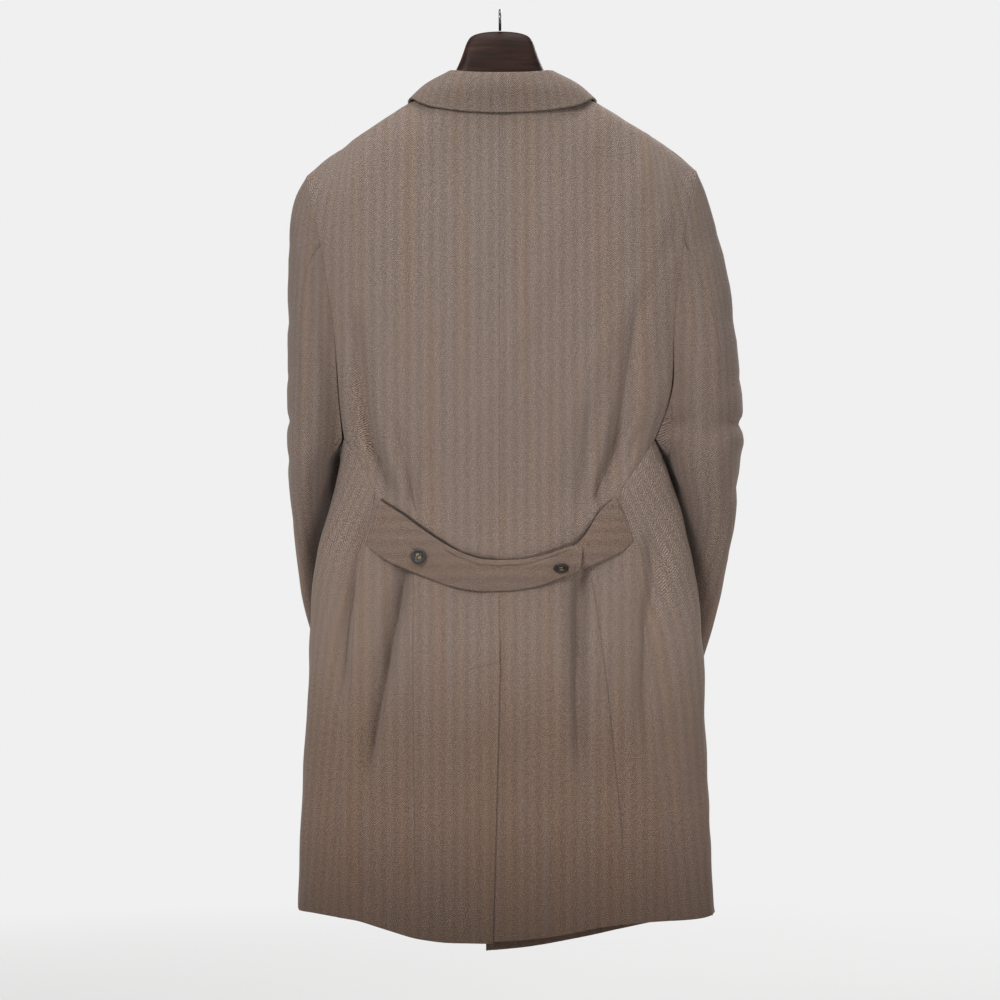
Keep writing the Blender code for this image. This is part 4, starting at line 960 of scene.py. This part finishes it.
# The collar's leaf lies on the back: from this level down, over this reach, by this much.
LEAF_STARTS, LEAF_REACH, LEAF_LAID = -0.098, 0.036, 0.0078
LEAF_BACK = 0.040


def lay_collar(points):
    """Lays the leaf's edge on the back and lets the stand be."""
    low = ease((LEAF_STARTS - points[:, 2]) / LEAF_REACH)
    behind = ease(points[:, 1] / LEAF_BACK)
    laid = points.copy()
    laid[:, 1] -= LEAF_LAID * low * behind
    return laid


def cloth_piece(cut, material):
    """A fine copy of a cloth node, mapped, creased and laid."""
    piece = fine_copy(cut.node, "cloth_" + cut.node, cut.levels, reach=True)
    points = points_of(piece)
    side = LEFT if "left" in cut.node else RIGHT
    if cut.node.startswith(("back", "front")):
        map_cloth(piece, body_cloth(points, side, cut.node.startswith("front")))
        points = crease_body(points, side)
    elif cut.node.startswith("sleeve"):
        map_cloth(piece, sleeve_cloth(points, side))
        points = crease_sleeve(points, side)
    elif cut.node == "collar":
        map_cloth(piece, collar_cloth(points))
        points = lay_collar(points)
    else:
        map_cloth(piece, flat_cloth(points))
        if cut.node.startswith("belt"):
            points = lay_belt(points)
    set_points(piece, points)
    piece.data.materials.append(material)
    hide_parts(cut.node)
    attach(piece, "root")


def solid_piece(node, levels, material):
    """A smoothed copy of a hard node."""
    piece = fine_copy(node, "fine_" + node, levels)
    piece.data.materials.append(material)
    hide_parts(node)
    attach(piece, "root")


# Buttons

# Shares of the radius and the height of the face there, in metres above the button's back.
FaceStop = namedtuple("FaceStop", "out up")
BUTTON_FACE = [
    FaceStop(0.00, 0.0024),
    FaceStop(0.55, 0.0025),
    FaceStop(0.66, 0.0030),
    FaceStop(0.76, 0.0036),
    FaceStop(0.90, 0.0035),
    FaceStop(0.97, 0.0029),
    FaceStop(1.00, 0.0020),
]
BUTTON_BACK = [FaceStop(0.97, 0.0008), FaceStop(0.80, 0.0)]
BUTTON_RADIUS = 0.0098
BUTTON_RINGS, BUTTON_SPOKES = 36, 64
HOLE_OUT, HOLE_WIDE, HOLE_DEEP = 0.0024, 0.0010, 0.0016
# A hole's wall ends at this many times its radius.
HOLE_WALL = 1.5
THREAD_THICK, THREAD_RISE, THREAD_SINK = 0.00042, 0.0007, 0.0004
THREAD_STEPS, THREAD_SIDES = 9, 6
STRANDS = [-0.00032, 0.00032]
HORN_FACE, THREAD_FACE = 0, 1
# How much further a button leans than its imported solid.
BUTTON_TIPS = {"belt_button_right": (0.10, 0.0, -0.30)}


def hole_places():
    """The middles of a button's four holes."""
    return [(x * HOLE_OUT, y * HOLE_OUT) for x in (-1, 1) for y in (-1, 1)]


def face_height(x, y):
    """The height of a button's face, with its rim, its dish and its four holes."""
    out = math.hypot(x, y) / BUTTON_RADIUS
    height = np.interp(out, [stop.out for stop in BUTTON_FACE], [stop.up for stop in BUTTON_FACE])
    for hole_x, hole_y in hole_places():
        far = math.hypot(x - hole_x, y - hole_y) / HOLE_WIDE
        height -= HOLE_DEEP * float(ease(HOLE_WALL - far))
    return float(height)


def ring_places(reach):
    """Places on a ring round the button's middle."""
    angles = [2 * math.pi * spoke / BUTTON_SPOKES for spoke in range(BUTTON_SPOKES)]
    return [(reach * math.cos(angle), reach * math.sin(angle)) for angle in angles]


def button_shape():
    """Points and faces of a button, its back at 0 and its face towards +Z."""
    points = [(0.0, 0.0, face_height(0, 0))]
    for ring in range(1, BUTTON_RINGS + 1):
        reach = BUTTON_RADIUS * ring / BUTTON_RINGS
        points += [(x, y, face_height(x, y)) for x, y in ring_places(reach)]
    for stop in BUTTON_BACK:
        points += [(x, y, stop.up) for x, y in ring_places(BUTTON_RADIUS * stop.out)]
    points.append((0.0, 0.0, 0.0))
    last = len(points) - 1
    faces = []
    for spoke in range(BUTTON_SPOKES):
        after = (spoke + 1) % BUTTON_SPOKES
        faces.append((0, 1 + spoke, 1 + after))
        for ring in range(BUTTON_RINGS + 1):
            inner = 1 + ring * BUTTON_SPOKES
            outer = inner + BUTTON_SPOKES
            faces.append((inner + spoke, outer + spoke, outer + after, inner + after))
        faces.append((outer + after, outer + spoke, last))
    return points, faces


def strand(start, end):
    """A strand of thread from one hole over to another."""
    start, end = np.array(start), np.array(end)
    way = (end - start) / np.linalg.norm(end - start)
    side = np.array([-way[1], way[0], 0])
    points, faces = [], []
    for step in range(THREAD_STEPS):
        share = step / (THREAD_STEPS - 1)
        middle = start + (end - start) * share
        middle[2] += THREAD_RISE * math.sin(math.pi * share)
        for turn in range(THREAD_SIDES):
            angle = 2 * math.pi * turn / THREAD_SIDES
            round_way = side * math.cos(angle) + np.array([0, 0, 1]) * math.sin(angle)
            points.append(middle + THREAD_THICK * round_way)
    for step in range(THREAD_STEPS - 1):
        for turn in range(THREAD_SIDES):
            this = step * THREAD_SIDES + turn
            after = step * THREAD_SIDES + (turn + 1) % THREAD_SIDES
            faces.append((this, after, after + THREAD_SIDES, this + THREAD_SIDES))
    faces.append(tuple(range(THREAD_SIDES))[::-1])
    faces.append(tuple(range(len(points) - THREAD_SIDES, len(points))))
    return [tuple(point) for point in points], faces


def strands():
    """Two strands side by side over each pair of holes."""
    level = face_height(0, 0) - THREAD_SINK
    found = []
    for hole_y in (-HOLE_OUT, HOLE_OUT):
        for aside in STRANDS:
            ends = [(x, hole_y + aside, level) for x in (-HOLE_OUT, HOLE_OUT)]
            found.append(strand(*ends))
    return found


def button_place(node):
    """The middle of a packed button's back, and the way that its face looks."""
    points = points_of(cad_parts[node])
    middle = points.mean(axis=0)
    normal = np.linalg.svd(points - middle)[2][2]
    faces_back = node.startswith("belt")
    if (normal[1] > 0) != faces_back:
        normal = -normal
    rise = (points - middle) @ normal
    foot = middle + normal * rise.min()
    if faces_back:
        foot = lay_belt(foot[None])[0]
    if node in BUTTON_TIPS:
        normal = normal + np.array(BUTTON_TIPS[node])
        normal = normal / np.linalg.norm(normal)
    return foot, normal


def button_piece(node, turn, horn_material, thread_material):
    """A turned and drilled button with its thread, in the place of a packed one."""
    points, faces = button_shape()
    kinds = [HORN_FACE] * len(faces)
    for more_points, more_faces in strands():
        start = len(points)
        points = points + more_points
        faces = faces + [tuple(start + index for index in face) for face in more_faces]
        kinds += [THREAD_FACE] * len(more_faces)
    foot, normal = button_place(node)
    facing = Vector(normal).to_track_quat("Z", "Y").to_matrix()
    spin = Matrix.Rotation(math.radians(turn), 3, "Z")
    placed = [facing @ (spin @ Vector(point)) + Vector(foot) for point in points]
    mesh = bpy.data.meshes.new("fine_" + node)
    mesh.from_pydata([tuple(point) for point in placed], [], faces)
    mesh.materials.append(horn_material)
    mesh.materials.append(thread_material)
    mesh.polygons.foreach_set("material_index", kinds)
    mesh.shade_smooth()
    piece = bpy.data.objects.new("fine_" + node, mesh)
    bpy.context.scene.collection.objects.link(piece)
    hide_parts(node)
    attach(piece, "root")


# How far each button's thread is turned, in degrees.
BUTTON_TURNS = {
    "belt_button_left": 38,
    "belt_button_right": 12,
    "front_button_1": 5,
    "front_button_2": -8,
    "front_button_3": 14,
}


def dress():
    """Lays every piece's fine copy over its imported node."""
    wools = {
        "front": tweed("herringbone"),
        # The collar, the belt and the sleeves are the same wool with painted shade.
        "collar": tweed("herringbone_collar_painted_shade", painted_shade=COLLAR_PAINTED_SHADE),
        "back": tweed("herringbone_back_seams_and_shade", marks=BACK_SEAMS_AND_SHADE),
        "belt": tweed("herringbone_across_painted_shade", turned=True, marks=BELT_MARKS, painted_shade=BELT_PAINTED_SHADE),
        "sleeve": tweed("herringbone_sleeve_painted_shade", painted_shade=SLEEVE_PAINTED_SHADE),
    }
    wools["lapel"] = wools["front"]
    for cut in CUTS:
        kind = cut.node.split("_")[0]
        cloth_piece(cut, wools[kind])
    solid_piece("hanger_body", 2, dark_wood())
    solid_piece("hanger_hook", 1, steel())
    horn_material, thread_material = horn(), thread()
    for node, turn in BUTTON_TURNS.items():
        button_piece(node, turn, horn_material, thread_material)


# Camera, light and floor

FLOOR_Z = -1.55
FLOOR_RADIUS = 3.2
FLOOR_SIDES = 96
# The floor is whole out to this radius and clear from this share of its own radius on.
FLOOR_FADE, FLOOR_CLEAR = 0.7, 0.9
FLOOR_SURFACE = {"Base Color": (0.86, 0.86, 0.86, 1), "Roughness": 0.9}
# The surroundings as they are seen, and the light that the coat gets from them.
SEEN_COLOUR = (0.87, 0.87, 0.87, 1)
FELT_COLOUR = (1.0, 0.985, 0.965, 1)
FELT_STRENGTH = 0.32
SENSOR_WIDE = 36


def floor():
    """A pale disc that fades out into the pale surroundings."""
    bpy.ops.mesh.primitive_circle_add(
        vertices=FLOOR_SIDES, radius=FLOOR_RADIUS, fill_type="NGON", location=(0, 0, FLOOR_Z)
    )
    disc = bpy.context.object
    disc.name = "floor"
    made = Nodes("pale_floor")
    made.surface(FLOOR_SURFACE)
    far = made.add("VectorMath", operation="LENGTH")
    made.link(made.place(), far.inputs[0])
    past = made.math("SUBTRACT", far.outputs[1], FLOOR_FADE)
    share = made.math("DIVIDE", past, FLOOR_RADIUS * FLOOR_CLEAR - FLOOR_FADE)
    clear = made.add("BsdfTransparent")
    blend = made.add("MixShader")
    output = made.tree.nodes["Material Output"]
    share.node.use_clamp = True
    made.link(share, blend.inputs[0])
    made.link(made.shader.outputs[0], blend.inputs[1])
    made.link(clear.outputs[0], blend.inputs[2])
    made.link(blend.outputs[0], output.inputs["Surface"])
    disc.data.materials.append(made.material)


def surroundings():
    """Pale all round for the camera, and a softer light on the coat."""
    world = bpy.data.worlds.new("studio")
    bpy.context.scene.world = world
    world.use_nodes = True
    tree = world.node_tree
    tree.nodes.clear()
    output = tree.nodes.new("ShaderNodeOutputWorld")
    seen = tree.nodes.new("ShaderNodeBackground")
    seen.inputs[0].default_value = SEEN_COLOUR
    felt = tree.nodes.new("ShaderNodeBackground")
    felt.inputs[0].default_value = FELT_COLOUR
    felt.inputs[1].default_value = FELT_STRENGTH
    pick = tree.nodes.new("ShaderNodeMixShader")
    path = tree.nodes.new("ShaderNodeLightPath")
    tree.links.new(path.outputs["Is Camera Ray"], pick.inputs[0])
    tree.links.new(felt.outputs[0], pick.inputs[1])
    tree.links.new(seen.outputs[0], pick.inputs[2])
    tree.links.new(pick.outputs[0], output.inputs[0])


Lamp = namedtuple("Lamp", "name place aim size power")
LAMPS = [
    Lamp("key", (1.6, 2.7, 1.2), (0, 0, -0.50), 1.4, 64),
    Lamp("fill", (-2.2, 2.8, -0.1), (0, 0, -0.60), 2.0, 25),
    Lamp("front_key", (-1.6, -2.8, 1.1), (0, 0, -0.60), 1.6, 54),
    Lamp("top", (0, 0.3, 2.0), (0, 0, -0.30), 1.4, 26),
]


def lights():
    """Soft square lamps, each turned to its aim."""
    for lamp in LAMPS:
        data = bpy.data.lights.new(lamp.name, "AREA")
        data.size = lamp.size
        data.energy = lamp.power
        placed = bpy.data.objects.new(lamp.name, data)
        placed.location = lamp.place
        way = Vector(lamp.aim) - Vector(lamp.place)
        placed.rotation_mode = "QUATERNION"
        placed.rotation_quaternion = way.to_track_quat("-Z", "Y")
        bpy.context.scene.collection.objects.link(placed)


def camera():
    """The photograph's view, from straight behind."""
    data = bpy.data.cameras.new("camera")
    data.sensor_width = SENSOR_WIDE
    data.lens = data.sensor_width * CAMERA_FAR / PHOTO_WIDE
    placed = bpy.data.objects.new("camera", data)
    placed.location = (0, CAMERA_FAR, CAMERA_Z)
    placed.rotation_euler = (math.radians(90), 0, math.radians(180))
    bpy.context.scene.collection.objects.link(placed)
    bpy.context.scene.camera = placed


camera()
lights()
surroundings()
floor()
dress()
bpy.context.scene.view_settings.view_transform = "Standard"
